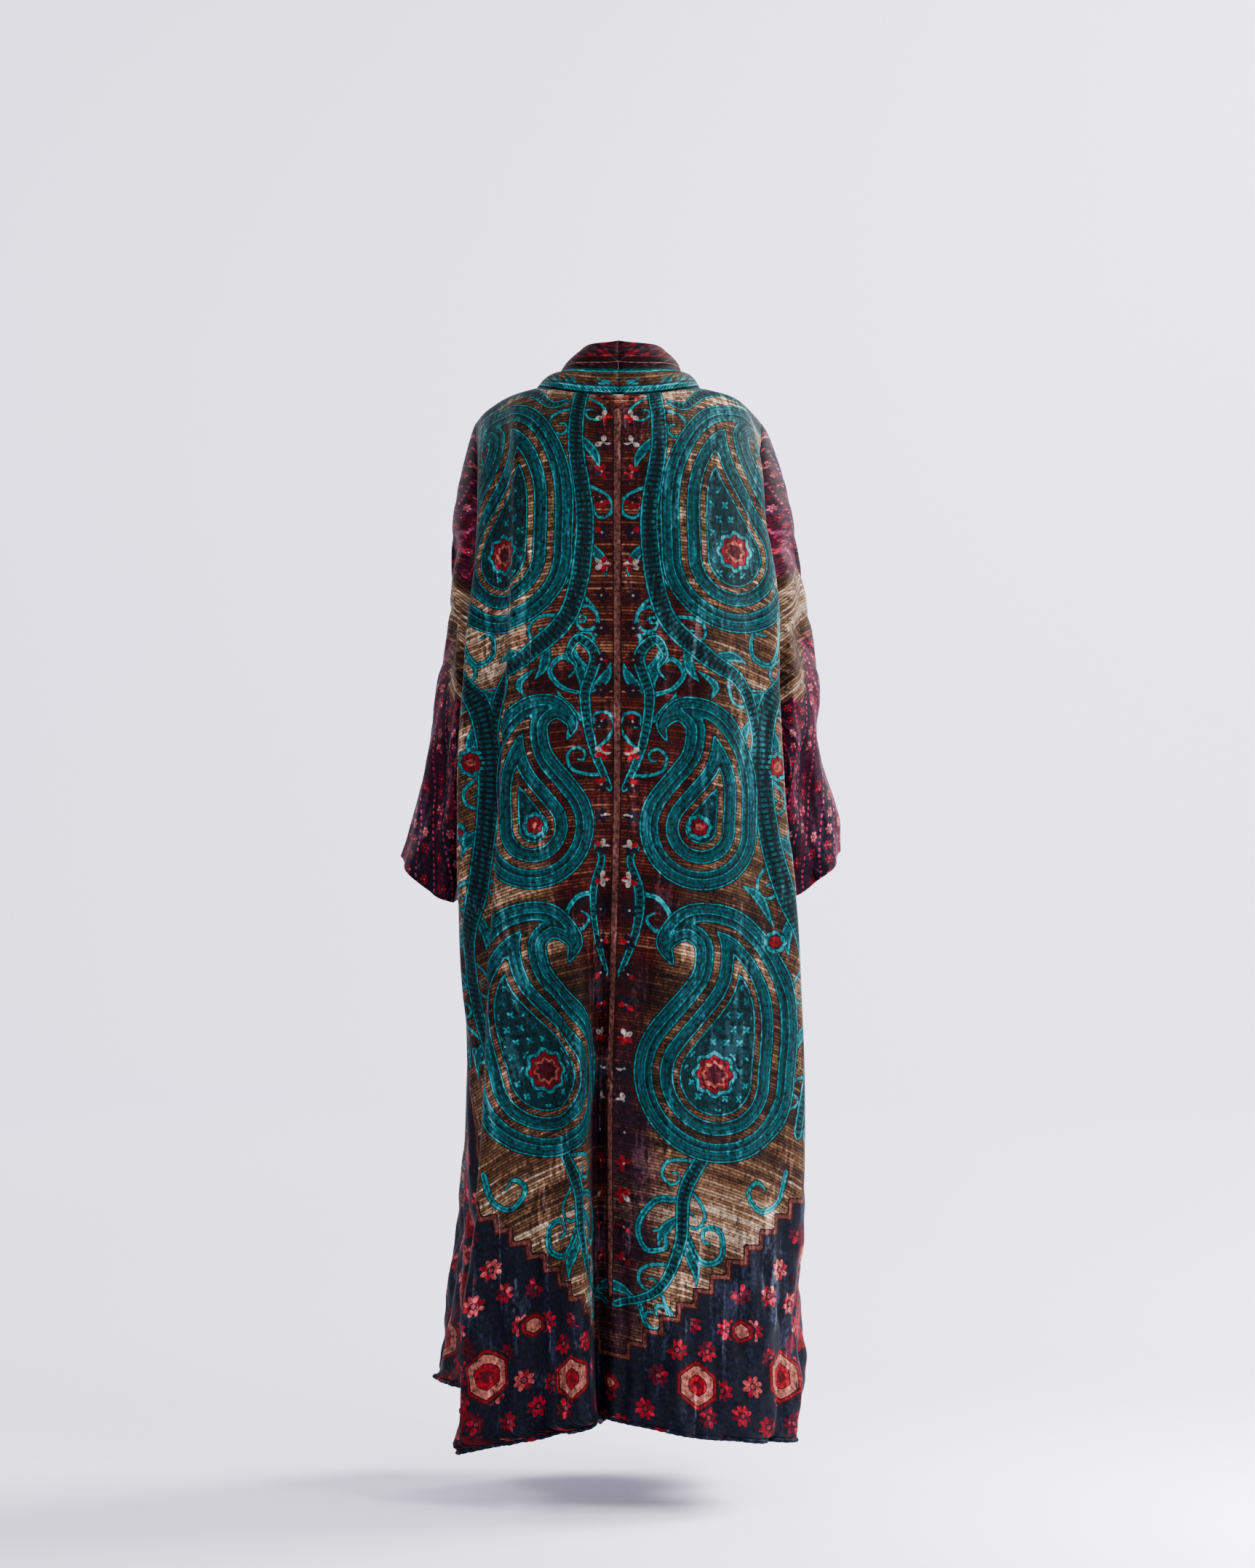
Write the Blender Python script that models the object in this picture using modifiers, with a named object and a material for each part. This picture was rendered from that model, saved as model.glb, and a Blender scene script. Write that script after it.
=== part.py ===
"""A worn, open-fronted velvet abaya, hollow, as it hangs from the shoulders with the arms down.

Metres, +Z up. The origin is the middle of the neck at the height of the shoulders, where the wearer
carries the garment. The back faces -Y, the front opening faces +Y and +X is on the right of someone
who looks at the back. Each piece of cloth is a grid of points on its outer face, thickened inwards by
a Solidify modifier. The seams between pieces are narrow gaps.
"""

import math
from collections import namedtuple

import bpy
import numpy as np

# Cloth and seams
CLOTH_THICKNESS = 0.002
SEAM_GAP = 0.0004
HEM_ROLL_GAP = 0.0004
HEM_ROLL_RADIUS = 0.0032
ROLL_END_GAP = 0.005
ROLL_POINT_SPACING = 2.2 * HEM_ROLL_RADIUS
LEAST_SEAM_REACH = 0.25

# Neck, shoulders and armholes
NECK_HALF_WIDTH = 0.115
NECK_BACK_DEPTH = 0.078
NECK_SIDE_Z = 0.010
NECK_BACK_Z = -0.008
SHOULDER_X = 0.202
SHOULDER_Y = 0.020
SHOULDER_Z = -0.038
SHOULDER_ROUNDING = 0.6
UNDERARM_X = 0.172
UNDERARM_Z = -0.420
ARMHOLE_HALF_DEPTH = 0.055

# How many rows and columns of faces each piece has. Rows down to the underarm meet the armhole seam
# at equal angles round its oval, so that each sleeve has twice as many faces round it. A panel's
# columns run from one edge to the other, a number for each stretch between two of its points in plan.
ARMHOLE_ROWS = 12
YOKE_ROWS = 5
SKIRT_ROWS = 12
BACK_COLUMNS = (3, 4, 4, 7, 3, 2, 1, 6, 7, 4, 4, 3)
FRONT_COLUMNS = (6, 7, 5)
SLEEVE_ROWS = 12
SLEEVE_FIRST_STEP = 0.02
BAND_NECK_COLUMNS = 6
BAND_ACROSS = 6

# The back's outline in plan, in halves, outwards from the middle. Both have a soft quarter point, the
# edge of the fold that shows, the tuck behind it, the wing that hangs behind the arm, and the side
# seam. The left half also has the dip and the ridge of the long fold beside the middle.
BackRight = namedtuple("BackRight", "z mid_x mid_y edge_x edge_y tuck_x tuck_y wing_x wing_y seam_x seam_y")
BackLeft = namedtuple("BackLeft", "z dip_x dip_y ridge_x ridge_y " + " ".join(BackRight._fields[1:]))

BACK_RIGHT = (
    BackRight(-0.17, 0.106, -0.119, 0.204, -0.066, 0.198, -0.052, 0.192, -0.041, 0.186, 0.020),
    BackRight(-0.30, 0.112, -0.130, 0.225, -0.068, 0.210, -0.050, 0.196, -0.039, 0.178, 0.020),
    BackRight(-0.43, 0.116, -0.134, 0.229, -0.070, 0.209, -0.048, 0.196, -0.022, 0.172, 0.020),
    BackRight(-0.56, 0.118, -0.132, 0.234, -0.070, 0.213, -0.046, 0.202, -0.020, 0.174, 0.022),
    BackRight(-0.70, 0.120, -0.130, 0.248, -0.070, 0.230, -0.042, 0.245, -0.014, 0.190, 0.035),
    BackRight(-0.90, 0.122, -0.132, 0.258, -0.072, 0.240, -0.040, 0.257, -0.006, 0.214, 0.055),
    BackRight(-1.12, 0.126, -0.140, 0.260, -0.074, 0.242, -0.040, 0.261, 0.000, 0.224, 0.066),
    BackRight(-1.25, 0.127, -0.146, 0.253, -0.076, 0.236, -0.042, 0.252, 0.002, 0.225, 0.070),
    BackRight(-1.36, 0.128, -0.148, 0.256, -0.078, 0.238, -0.042, 0.254, 0.004, 0.225, 0.073),
    BackRight(-1.46, 0.126, -0.150, 0.238, -0.084, 0.222, -0.050, 0.238, 0.000, 0.222, 0.074),
)
BACK_LEFT = (
    BackLeft(-0.17, 0.018, -0.122, 0.046, -0.122,
             0.104, -0.117, 0.142, -0.108, 0.148, -0.097, 0.196, -0.062, 0.186, 0.020),
    BackLeft(-0.30, 0.018, -0.134, 0.046, -0.135,
             0.102, -0.131, 0.147, -0.117, 0.151, -0.098, 0.210, -0.064, 0.178, 0.020),
    BackLeft(-0.43, 0.018, -0.137, 0.046, -0.140,
             0.100, -0.136, 0.156, -0.120, 0.156, -0.096, 0.221, -0.064, 0.172, 0.020),
    BackLeft(-0.56, 0.018, -0.133, 0.046, -0.138,
             0.100, -0.134, 0.165, -0.119, 0.160, -0.091, 0.231, -0.060, 0.174, 0.022),
    BackLeft(-0.70, 0.018, -0.126, 0.045, -0.136,
             0.102, -0.130, 0.174, -0.115, 0.164, -0.083, 0.232, -0.044, 0.190, 0.035),
    BackLeft(-0.90, 0.019, -0.121, 0.048, -0.146,
             0.104, -0.126, 0.183, -0.110, 0.168, -0.071, 0.214, -0.020, 0.190, 0.055),
    BackLeft(-1.12, 0.022, -0.119, 0.055, -0.162,
             0.110, -0.128, 0.197, -0.108, 0.177, -0.062, 0.219, -0.006, 0.199, 0.066),
    BackLeft(-1.25, 0.021, -0.119, 0.053, -0.168,
             0.113, -0.131, 0.207, -0.107, 0.186, -0.058, 0.220, 0.004, 0.204, 0.073),
    BackLeft(-1.36, 0.020, -0.119, 0.044, -0.170,
             0.114, -0.132, 0.216, -0.106, 0.193, -0.056, 0.222, 0.010, 0.208, 0.079),
    BackLeft(-1.46, 0.017, -0.121, 0.030, -0.170,
             0.112, -0.134, 0.226, -0.104, 0.198, -0.052, 0.216, 0.014, 0.210, 0.082),
)
MIDDLE_BACK_Y = (-0.122, -0.134, -0.138, -0.134, -0.128, -0.127, -0.130, -0.133, -0.134, -0.136)

# Half of a front's outline in plan, from the side seam to the edge of the opening.
FrontSection = namedtuple("FrontSection", "z seam_x seam_y side_x side_y quarter_x quarter_y edge_x edge_y")

FRONT_RIGHT = (
    FrontSection(-0.17, 0.186, 0.020, 0.170, 0.092, 0.125, 0.112, 0.074, 0.118),
    FrontSection(-0.30, 0.178, 0.020, 0.168, 0.108, 0.128, 0.142, 0.076, 0.152),
    FrontSection(-0.43, 0.172, 0.020, 0.172, 0.086, 0.130, 0.138, 0.078, 0.154),
    FrontSection(-0.56, 0.174, 0.022, 0.176, 0.084, 0.132, 0.134, 0.078, 0.150),
    FrontSection(-0.70, 0.190, 0.035, 0.196, 0.094, 0.144, 0.146, 0.080, 0.160),
    FrontSection(-0.90, 0.214, 0.055, 0.228, 0.122, 0.160, 0.180, 0.082, 0.188),
    FrontSection(-1.12, 0.224, 0.066, 0.244, 0.142, 0.172, 0.206, 0.084, 0.212),
    FrontSection(-1.25, 0.225, 0.070, 0.250, 0.150, 0.177, 0.218, 0.085, 0.222),
    FrontSection(-1.36, 0.225, 0.073, 0.254, 0.156, 0.180, 0.227, 0.086, 0.231),
    FrontSection(-1.46, 0.222, 0.074, 0.256, 0.162, 0.184, 0.234, 0.088, 0.238),
)
FRONT_LEFT = (
    FrontSection(-0.17, 0.186, 0.020, 0.170, 0.092, 0.125, 0.112, 0.074, 0.118),
    FrontSection(-0.30, 0.178, 0.020, 0.168, 0.108, 0.128, 0.142, 0.076, 0.152),
    FrontSection(-0.43, 0.172, 0.020, 0.172, 0.086, 0.130, 0.138, 0.078, 0.154),
    FrontSection(-0.56, 0.174, 0.022, 0.178, 0.084, 0.134, 0.134, 0.078, 0.150),
    FrontSection(-0.70, 0.190, 0.035, 0.204, 0.096, 0.150, 0.150, 0.080, 0.160),
    FrontSection(-0.90, 0.190, 0.055, 0.214, 0.126, 0.162, 0.184, 0.082, 0.188),
    FrontSection(-1.12, 0.199, 0.066, 0.225, 0.150, 0.174, 0.210, 0.084, 0.212),
    FrontSection(-1.25, 0.204, 0.073, 0.240, 0.168, 0.182, 0.224, 0.085, 0.222),
    FrontSection(-1.36, 0.208, 0.079, 0.257, 0.184, 0.192, 0.238, 0.086, 0.233),
    FrontSection(-1.46, 0.210, 0.082, 0.270, 0.196, 0.200, 0.246, 0.088, 0.240),
)

# Where the hems hang, at each of the points that the outlines are drawn through, seam to seam or edge
BACK_HEM = (
    (-1.408, -1.424, -1.446, -1.464, -1.436, -1.410, -1.403)
    + (-1.402,)
    + (-1.434, -1.449, -1.440, -1.422, -1.408)
)
FRONT_HEM = (-1.408, -1.404, -1.400, -1.400)

# A sleeve, from the armhole to the cuff: the outermost and innermost points of each ring seen from
# behind, the ring's middle and half depth from back to front, and how far its back hangs lower.
SleeveRing = namedtuple("SleeveRing", "step out_x out_z in_x in_z middle_y half_depth sag")

SLEEVE_RIGHT = (
    SleeveRing(0.00, SHOULDER_X, SHOULDER_Z, UNDERARM_X, UNDERARM_Z, SHOULDER_Y, ARMHOLE_HALF_DEPTH, 0.000),
    SleeveRing(0.05, 0.211, -0.053, 0.184, -0.424, 0.022, 0.056, 0.000),
    SleeveRing(0.14, 0.227, -0.098, 0.192, -0.446, 0.028, 0.058, 0.000),
    SleeveRing(0.30, 0.250, -0.205, 0.201, -0.480, 0.044, 0.066, 0.004),
    SleeveRing(0.46, 0.266, -0.310, 0.206, -0.520, 0.060, 0.074, 0.008),
    SleeveRing(0.60, 0.282, -0.415, 0.209, -0.562, 0.074, 0.082, 0.012),
    SleeveRing(0.70, 0.280, -0.466, 0.211, -0.596, 0.084, 0.086, 0.014),
    SleeveRing(0.82, 0.296, -0.532, 0.215, -0.640, 0.096, 0.092, 0.018),
    SleeveRing(0.92, 0.317, -0.590, 0.221, -0.680, 0.104, 0.096, 0.022),
    SleeveRing(1.00, 0.318, -0.636, 0.228, -0.708, 0.108, 0.096, 0.018),
)
SLEEVE_LEFT = (
    SleeveRing(0.00, SHOULDER_X, SHOULDER_Z, UNDERARM_X, UNDERARM_Z, SHOULDER_Y, ARMHOLE_HALF_DEPTH, 0.000),
    SleeveRing(0.05, 0.208, -0.055, 0.184, -0.424, 0.022, 0.056, 0.000),
    SleeveRing(0.14, 0.219, -0.098, 0.190, -0.446, 0.028, 0.058, 0.000),
    SleeveRing(0.30, 0.234, -0.200, 0.199, -0.480, 0.044, 0.066, 0.004),
    SleeveRing(0.46, 0.235, -0.312, 0.204, -0.520, 0.060, 0.074, 0.008),
    SleeveRing(0.60, 0.253, -0.402, 0.207, -0.562, 0.074, 0.082, 0.012),
    SleeveRing(0.70, 0.262, -0.452, 0.209, -0.596, 0.084, 0.086, 0.014),
    SleeveRing(0.82, 0.278, -0.530, 0.213, -0.640, 0.096, 0.092, 0.018),
    SleeveRing(0.92, 0.296, -0.600, 0.219, -0.680, 0.104, 0.096, 0.022),
    SleeveRing(1.00, 0.311, -0.646, 0.226, -0.712, 0.108, 0.096, 0.018),
)

# The neck band, from the middle of the back (0) round the side of the neck (1) to the yoke's foot on
# the front (1.5) and on to the hem at the same rate: how its width runs from the neck seam to its free
# edge, how far its lower half rolls out and how deep the crease above it is.
BandStation = namedtuple("BandStation", "step across_x across_y across_z roll crease")

BAND_NECK_RIGHT = (
    BandStation(0.0, 0.000, 0.026, 0.079, 0.010, 0.0045),
    BandStation(0.5, -0.026, 0.020, 0.064, 0.010, 0.0045),
    BandStation(1.0, -0.048, 0.012, 0.028, 0.005, 0.0030),
)
BAND_NECK_LEFT = (
    BandStation(0.0, 0.000, 0.026, 0.079, 0.010, 0.0045),
    BandStation(0.5, -0.037, 0.018, 0.064, 0.009, 0.0040),
    BandStation(1.0, -0.056, 0.012, 0.026, 0.005, 0.0020),
)
BAND_FRONT = (
    BandStation(1.2, -0.055, 0.012, 0.014, 0.003, 0.0000),
    BandStation(1.5, -0.055, 0.010, 0.002, 0.003, 0.0000),
    BandStation(2.0, -0.055, 0.005, 0.000, 0.002, 0.0000),
    BandStation(6.0, -0.055, 0.003, 0.000, 0.002, 0.0000),
)

# A fold in a hanging panel: where its line starts and ends across the panel and down it, how far it
# stands out there (in, if negative), and its half width.
Fold = namedtuple("Fold", "top_x top_z low_x low_z top_depth low_depth half_width")

BACK_FOLDS = (
    Fold(0.122, -0.12, 0.156, -0.78, 0.006, 0.005, 0.016),
    Fold(0.152, -0.20, 0.190, -0.70, -0.004, -0.003, 0.016),
    Fold(0.098, -0.70, 0.094, -1.05, 0.005, 0.002, 0.014),
    Fold(-0.090, -0.95, -0.085, -1.47, -0.002, -0.008, 0.020),
    Fold(-0.134, -1.05, -0.140, -1.47, 0.001, 0.011, 0.014),
    Fold(-0.180, -1.10, -0.178, -1.47, -0.001, -0.008, 0.014),
    Fold(0.048, -0.95, 0.040, -1.47, -0.001, -0.007, 0.026),
    Fold(0.090, -1.00, 0.096, -1.47, 0.001, 0.006, 0.026),
    Fold(0.150, -0.95, 0.158, -1.47, -0.001, -0.009, 0.018),
    Fold(0.184, -0.95, 0.186, -1.47, 0.001, 0.009, 0.012),
    Fold(0.212, -1.05, 0.206, -1.47, -0.001, -0.008, 0.010),
    Fold(0.060, -0.03, 0.075, -0.24, 0.002, 0.003, 0.014),
    Fold(-0.060, -0.03, -0.070, -0.24, 0.002, 0.003, 0.014),
    Fold(-0.070, -0.30, -0.092, -0.72, -0.002, -0.004, 0.022),
)
FRONT_FOLDS = (
    Fold(0.100, -0.20, 0.104, -1.47, -0.002, -0.010, 0.014),
    Fold(0.124, -0.14, 0.134, -1.47, 0.003, 0.012, 0.014),
    Fold(0.146, -0.26, 0.162, -1.47, -0.003, -0.012, 0.014),
    Fold(0.160, -0.50, 0.190, -1.47, 0.003, 0.012, 0.014),
    Fold(0.176, -0.72, 0.216, -1.47, -0.002, -0.010, 0.014),
    Fold(0.112, -0.05, 0.100, -0.20, 0.002, 0.003, 0.012),
)
# The stretch over which a fold starts or ends, the share of a panel's width beside each seam where
# folds die out, how far the panel must face back or front for a full fold, and the share of a sleeve's
# fold in which it starts.
FOLD_FADE = 0.10
FLAT_EDGE_SHARE = 0.125
FACING_FOR_FULL_FOLD = 0.6
SLEEVE_FOLD_START = 0.25

# A fold round a sleeve: the angle of its line, 0 outwards and -90 at the back, at two rings.
SleeveFold = namedtuple(
    "SleeveFold", "top_angle top_step low_angle low_step top_depth low_depth half_angle"
)

SLEEVE_FOLDS = (
    SleeveFold(-46.0, 0.05, -128.0, 1.00, 0.003, 0.010, 17.0),
    SleeveFold(-14.0, 0.20, -92.0, 1.00, -0.004, -0.009, 16.0),
    SleeveFold(10.0, 0.35, -56.0, 1.00, 0.003, 0.006, 16.0),
    SleeveFold(60.0, 0.05, 20.0, 1.00, -0.003, -0.006, 20.0),
    SleeveFold(100.0, 0.10, 62.0, 1.00, 0.004, 0.006, 18.0),
    SleeveFold(140.0, 0.30, 104.0, 1.00, -0.003, -0.006, 18.0),
)

# Colours of the velvet, as linear red, green and blue, and its roughness
TEAL_PRINT = (0.010, 0.145, 0.150)
TAN_GROUND = (0.200, 0.120, 0.062)
WINE_GROUND = (0.085, 0.018, 0.026)
BROWN_GROUND = (0.110, 0.045, 0.028)
NAVY_BORDER = (0.016, 0.019, 0.034)
VELVET_ROUGHNESS = 0.6


def smooth_between(at, knots, values):
    """A smooth curve through (knot, value) pairs, which turns without overshooting much."""
    knots = np.asarray(knots, float)
    values = np.asarray(values, float)
    order = np.argsort(knots)
    knots, values = knots[order], values[order]
    slopes = np.gradient(values, knots)
    at = np.clip(at, knots[0], knots[-1])
    low = np.clip(np.searchsorted(knots, at, side="right") - 1, 0, len(knots) - 2)
    width = knots[low + 1] - knots[low]
    part = (at - knots[low]) / width
    rise = part * part * (3 - 2 * part)
    start_pull = part * (1 - part) ** 2 * width * slopes[low]
    end_pull = part * part * (part - 1) * width * slopes[low + 1]
    return values[low] * (1 - rise) + values[low + 1] * rise + start_pull + end_pull


def column(table, name):
    return [getattr(row, name) for row in table]


def read_along(step, table):
    """Each column of a table whose first column is its step, read at the steps given."""
    return [smooth_between(step, column(table, "step"), column(table, name)) for name in table[0]._fields]


def spline_through(controls, segment, part):
    """A centripetal curve through controls (..., count, 2), at a part of one of its segments.

    controls has one set of points for each place; segment and part say where on the curve it lies.
    """
    count = controls.shape[-2]
    padded = np.concatenate(
        [
            2 * controls[..., :1, :] - controls[..., 1:2, :],
            controls,
            2 * controls[..., -1:, :] - controls[..., -2:-1, :],
        ],
        axis=-2,
    )
    segment = np.clip(segment, 0, count - 2)
    corners = []
    for step in range(4):
        index = np.broadcast_to((segment + step)[..., None, None], controls.shape[:-2] + (1, 2))
        corners.append(np.take_along_axis(padded, index, axis=-2)[..., 0, :])
    knots = [np.zeros(controls.shape[:-2])]
    for first, second in zip(corners, corners[1:]):
        gap = np.sqrt(np.linalg.norm(second - first, axis=-1)) + 1e-9
        knots.append(knots[-1] + gap)
    at = knots[1] + part * (knots[2] - knots[1])

    def blend(first, second, first_knot, second_knot):
        share = ((at - first_knot) / (second_knot - first_knot))[..., None]
        return first * (1 - share) + second * share

    near = blend(corners[0], corners[1], knots[0], knots[1])
    middle = blend(corners[1], corners[2], knots[1], knots[2])
    far = blend(corners[2], corners[3], knots[2], knots[3])
    return blend(
        blend(near, middle, knots[0], knots[2]), blend(middle, far, knots[1], knots[3]), knots[1], knots[2]
    )


def columns_of(counts):
    """The segment and the part of it for each column of a panel, with counts faces per segment."""
    segments, parts = [], []
    for index, count in enumerate(counts):
        for step in range(count):
            segments.append(index)
            parts.append(step / count)
    segments.append(len(counts) - 1)
    parts.append(1.0)
    return np.array(segments), np.array(parts)


def armhole_edge(angle, side):
    """A point of the armhole seam: angle 0 at the shoulder, pi at the underarm, side -1 at the back."""
    level = (1 + np.cos(angle)) / 2
    x = UNDERARM_X + (SHOULDER_X - UNDERARM_X) * level
    y = SHOULDER_Y + side * ARMHOLE_HALF_DEPTH * np.sin(angle)
    z = UNDERARM_Z + (SHOULDER_Z - UNDERARM_Z) * level
    return np.stack([x, y, z], axis=-1)


def armhole_angles():
    return np.linspace(0, math.pi, ARMHOLE_ROWS + 1)


def shoulder_line(share):
    """A point of the shoulder seam, from the side of the neck (0) to the shoulder point (1)."""
    share = np.asarray(share, float)
    fall = share * (1 - SHOULDER_ROUNDING) + share**3 * SHOULDER_ROUNDING
    x = NECK_HALF_WIDTH + (SHOULDER_X - NECK_HALF_WIDTH) * share
    z = NECK_SIDE_Z + (SHOULDER_Z - NECK_SIDE_Z) * fall
    return np.stack([x, SHOULDER_Y * share, z], axis=-1)


def neckline(share):
    """A point of the back neckline, from the middle of the back (0) to the side of the neck (1)."""
    angle = np.asarray(share, float) * math.pi / 2
    x = NECK_HALF_WIDTH * np.sin(angle)
    y = -NECK_BACK_DEPTH * np.cos(angle)
    z = NECK_BACK_Z + (NECK_SIDE_Z - NECK_BACK_Z) * np.sin(angle) ** 2
    return np.stack([x, y, z], axis=-1)


def outward_of(grid, closed=False):
    """Which way a piece's outer face looks at each point of its grid. closed makes its columns a ring."""
    if closed:
        ringed = np.concatenate([grid[:, -1:], grid, grid[:, :1]], axis=1)
        return outward_of(ringed)[:, 1:-1]
    outward = np.cross(np.gradient(grid, axis=0), np.gradient(grid, axis=1))
    return outward / np.maximum(np.linalg.norm(outward, axis=-1, keepdims=True), 1e-12)


def eased(share):
    """A share held between 0 and 1 that leaves 0 and reaches 1 gently."""
    share = np.clip(share, 0, 1)
    return share * share * (3 - 2 * share)


def fold_heights(folds, x, z, quiet):
    """How far the folds lift the cloth at x and z. quiet is 0 at a seam, so that seams keep their line."""
    height = np.zeros_like(x)
    for fold in folds:
        share = (z - fold.top_z) / (fold.low_z - fold.top_z)
        line = fold.top_x + (fold.low_x - fold.top_x) * share
        depth = fold.top_depth + (fold.low_depth - fold.top_depth) * np.clip(share, 0, 1)
        length = fold.top_z - fold.low_z
        fade = eased(share * length / FOLD_FADE + 0.5) * eased((1 - share) * length / FOLD_FADE + 0.5)
        height += depth * fade * np.exp(-(((x - line) / fold.half_width) ** 2))
    return height * quiet


def panel_heights(hem):
    """The height of each row below the yoke, for columns that end at the heights in hem."""
    above = armhole_edge(armhole_angles()[YOKE_ROWS:], 0)[:, 2]
    below = UNDERARM_Z + np.linspace(0, 1, SKIRT_ROWS + 1)[1:, None] * (hem - UNDERARM_Z)[None]
    return np.concatenate([np.repeat(above[:, None], len(hem), axis=1), below])


def section_points(table, names, z):
    """Control points of half an outline at each height, from the points of the table with these names."""
    points = []
    for name in names:
        x = smooth_between(z, column(table, "z"), column(table, name + "_x"))
        y = smooth_between(z, column(table, "z"), column(table, name + "_y"))
        points.append(np.stack([x, y], axis=-1))
    return np.stack(points, axis=-2)


def panel(controls, counts, hem, arm_sides, top):
    """A panel from the shoulder to the hem, through its control points at each height.

    arm_sides says which of its edges lie on the armhole seam: pairs of the column and the sign of x.
    The rows of its yoke leave the shoulder level and turn down to the shoulder blades.
    """
    segment, part = columns_of(counts)
    z = panel_heights(smooth_between(segment + part, range(len(hem)), hem))
    points = controls(z)
    edges = {}
    for last, sign, side in arm_sides:
        edges[last] = armhole_edge(armhole_angles(), side) * (sign, 1, 1)
        points[: ARMHOLE_ROWS - YOKE_ROWS + 1, :, last] = edges[last][YOKE_ROWS:, None, :2]
    places = spline_through(
        points, np.broadcast_to(segment, z.shape), np.broadcast_to(part, z.shape)
    )
    body = np.concatenate([places, z[..., None]], axis=-1)
    angle = np.linspace(0, math.pi / 2, YOKE_ROWS + 1)[:, None, None]
    share = np.concatenate([np.sin(angle), np.sin(angle), 1 - np.cos(angle)], axis=-1)
    yoke = top[None] + (body[0] - top)[None] * share
    for last, edge in edges.items():
        yoke[:, last] = edge[: YOKE_ROWS + 1]
    return np.concatenate([yoke[:-1], body])


def back_grid():
    """The outer face of the back, from its left seam to its right one, and from the neck down."""

    def controls(z):
        left = section_points(BACK_LEFT, ("seam", "wing", "tuck", "edge", "mid", "ridge", "dip"), z)
        left[..., 0] *= -1
        middle_y = smooth_between(z, column(BACK_RIGHT, "z"), MIDDLE_BACK_Y)
        middle = np.stack([np.zeros_like(z), middle_y], axis=-1)[..., None, :]
        right = section_points(BACK_RIGHT, ("mid", "edge", "tuck", "wing", "seam"), z)
        return np.concatenate([left, middle, right], axis=-2)

    shoulder = shoulder_line(np.linspace(0, 1, sum(FRONT_COLUMNS) + 1))
    half = np.concatenate([neckline(np.linspace(0, 1, BAND_NECK_COLUMNS + 1)), shoulder[1:]])
    top = np.concatenate([half[:0:-1] * (-1, 1, 1), half])
    grid = panel(controls, BACK_COLUMNS, BACK_HEM, ((0, -1, -1), (-1, 1, -1)), top)
    return lifted(grid, BACK_FOLDS)


def lifted(grid, folds):
    """The panel with its folds standing out, quiet beside its edges and where it turns to the side."""
    across = np.linspace(0, 1, grid.shape[1])[None]
    edge_quiet = np.clip(np.minimum(across, 1 - across) / FLAT_EDGE_SHARE, 0, 1)
    outward = outward_of(grid)
    facing = np.clip(np.abs(outward[..., 1]) / FACING_FOR_FULL_FOLD, 0, 1)
    in_yoke = np.arange(len(grid))[:, None] < YOKE_ROWS
    quiet = edge_quiet * np.where(in_yoke, 1, facing)
    return grid + outward * fold_heights(folds, grid[..., 0], grid[..., 2], quiet)[..., None]


def front_grid(table):
    """The outer face of a right-hand front, from its side seam to the edge of the opening."""

    def controls(z):
        return section_points(table, ("seam", "side", "quarter", "edge"), z)

    top = shoulder_line(np.linspace(1, 0, sum(FRONT_COLUMNS) + 1))
    grid = panel(controls, FRONT_COLUMNS, FRONT_HEM, ((0, 1, 1),), top)
    return lifted(grid, FRONT_FOLDS)


def sleeve_grid(table):
    """The outer face of a right-hand sleeve: closed rings from the armhole to the cuff."""
    step = np.concatenate([[0], np.linspace(SLEEVE_FIRST_STEP, 1, SLEEVE_ROWS)])
    ring = SleeveRing(*(values[:, None] for values in read_along(step, table)))
    angle = np.linspace(0, 2 * math.pi, 2 * ARMHOLE_ROWS, endpoint=False)[None]
    x = (ring.out_x + ring.in_x) / 2 + (ring.out_x - ring.in_x) / 2 * np.cos(angle)
    y = ring.middle_y + ring.half_depth * np.sin(angle)
    z = (ring.out_z + ring.in_z) / 2 + (ring.out_z - ring.in_z) / 2 * np.cos(angle)
    z = z - ring.sag * np.sin(angle) ** 2
    grid = np.stack([x, y, z], axis=-1)
    outward = outward_of(grid, closed=True)
    height = np.zeros_like(x)
    turn = np.degrees(angle)
    for fold in SLEEVE_FOLDS:
        share = (step[:, None] - fold.top_step) / (fold.low_step - fold.top_step)
        line = fold.top_angle + (fold.low_angle - fold.top_angle) * np.clip(share, 0, 1)
        depth = fold.top_depth + (fold.low_depth - fold.top_depth) * np.clip(share, 0, 1)
        away = (turn - line + 180) % 360 - 180
        height += depth * eased(share / SLEEVE_FOLD_START) * np.exp(-((away / fold.half_angle) ** 2))
    return grid + outward * height[..., None]


def band_grid(front, at_neck):
    """The outer face of the right-hand half of the neck band, from the neck seam to its free edge.

    It starts at the middle of the back and runs down the edge of the front, which is the grid given.
    at_neck is its table for the stretch round the back of the neck.
    """
    edge = front[:, -1]
    round_neck = np.linspace(0, 1, BAND_NECK_COLUMNS + 1)[:-1]
    run = np.concatenate([[0], np.cumsum(np.linalg.norm(np.diff(edge, axis=0), axis=-1))])
    down_front = 1 + run / run[YOKE_ROWS] / 2
    station = BandStation(*read_along(np.concatenate([round_neck, down_front]), at_neck + BAND_FRONT))
    path = np.concatenate([neckline(round_neck), edge])
    width = np.stack([station.across_x, station.across_y, station.across_z], axis=-1)
    share = np.linspace(0, 1, BAND_ACROSS + 1)
    grid = path[:, None] + width[:, None] * share[None, :, None]
    outward = outward_of(grid)
    outward[0, :, 0] = 0
    wave = np.abs(np.sin(2 * math.pi * share))
    lower = np.where(share < 0.5, wave, 0)
    upper = np.where(share > 0.5, wave, 0) - (share == 0.5)
    bulge = station.roll[:, None] * lower + station.crease[:, None] * upper
    return grid + outward * bulge[..., None]


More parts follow.
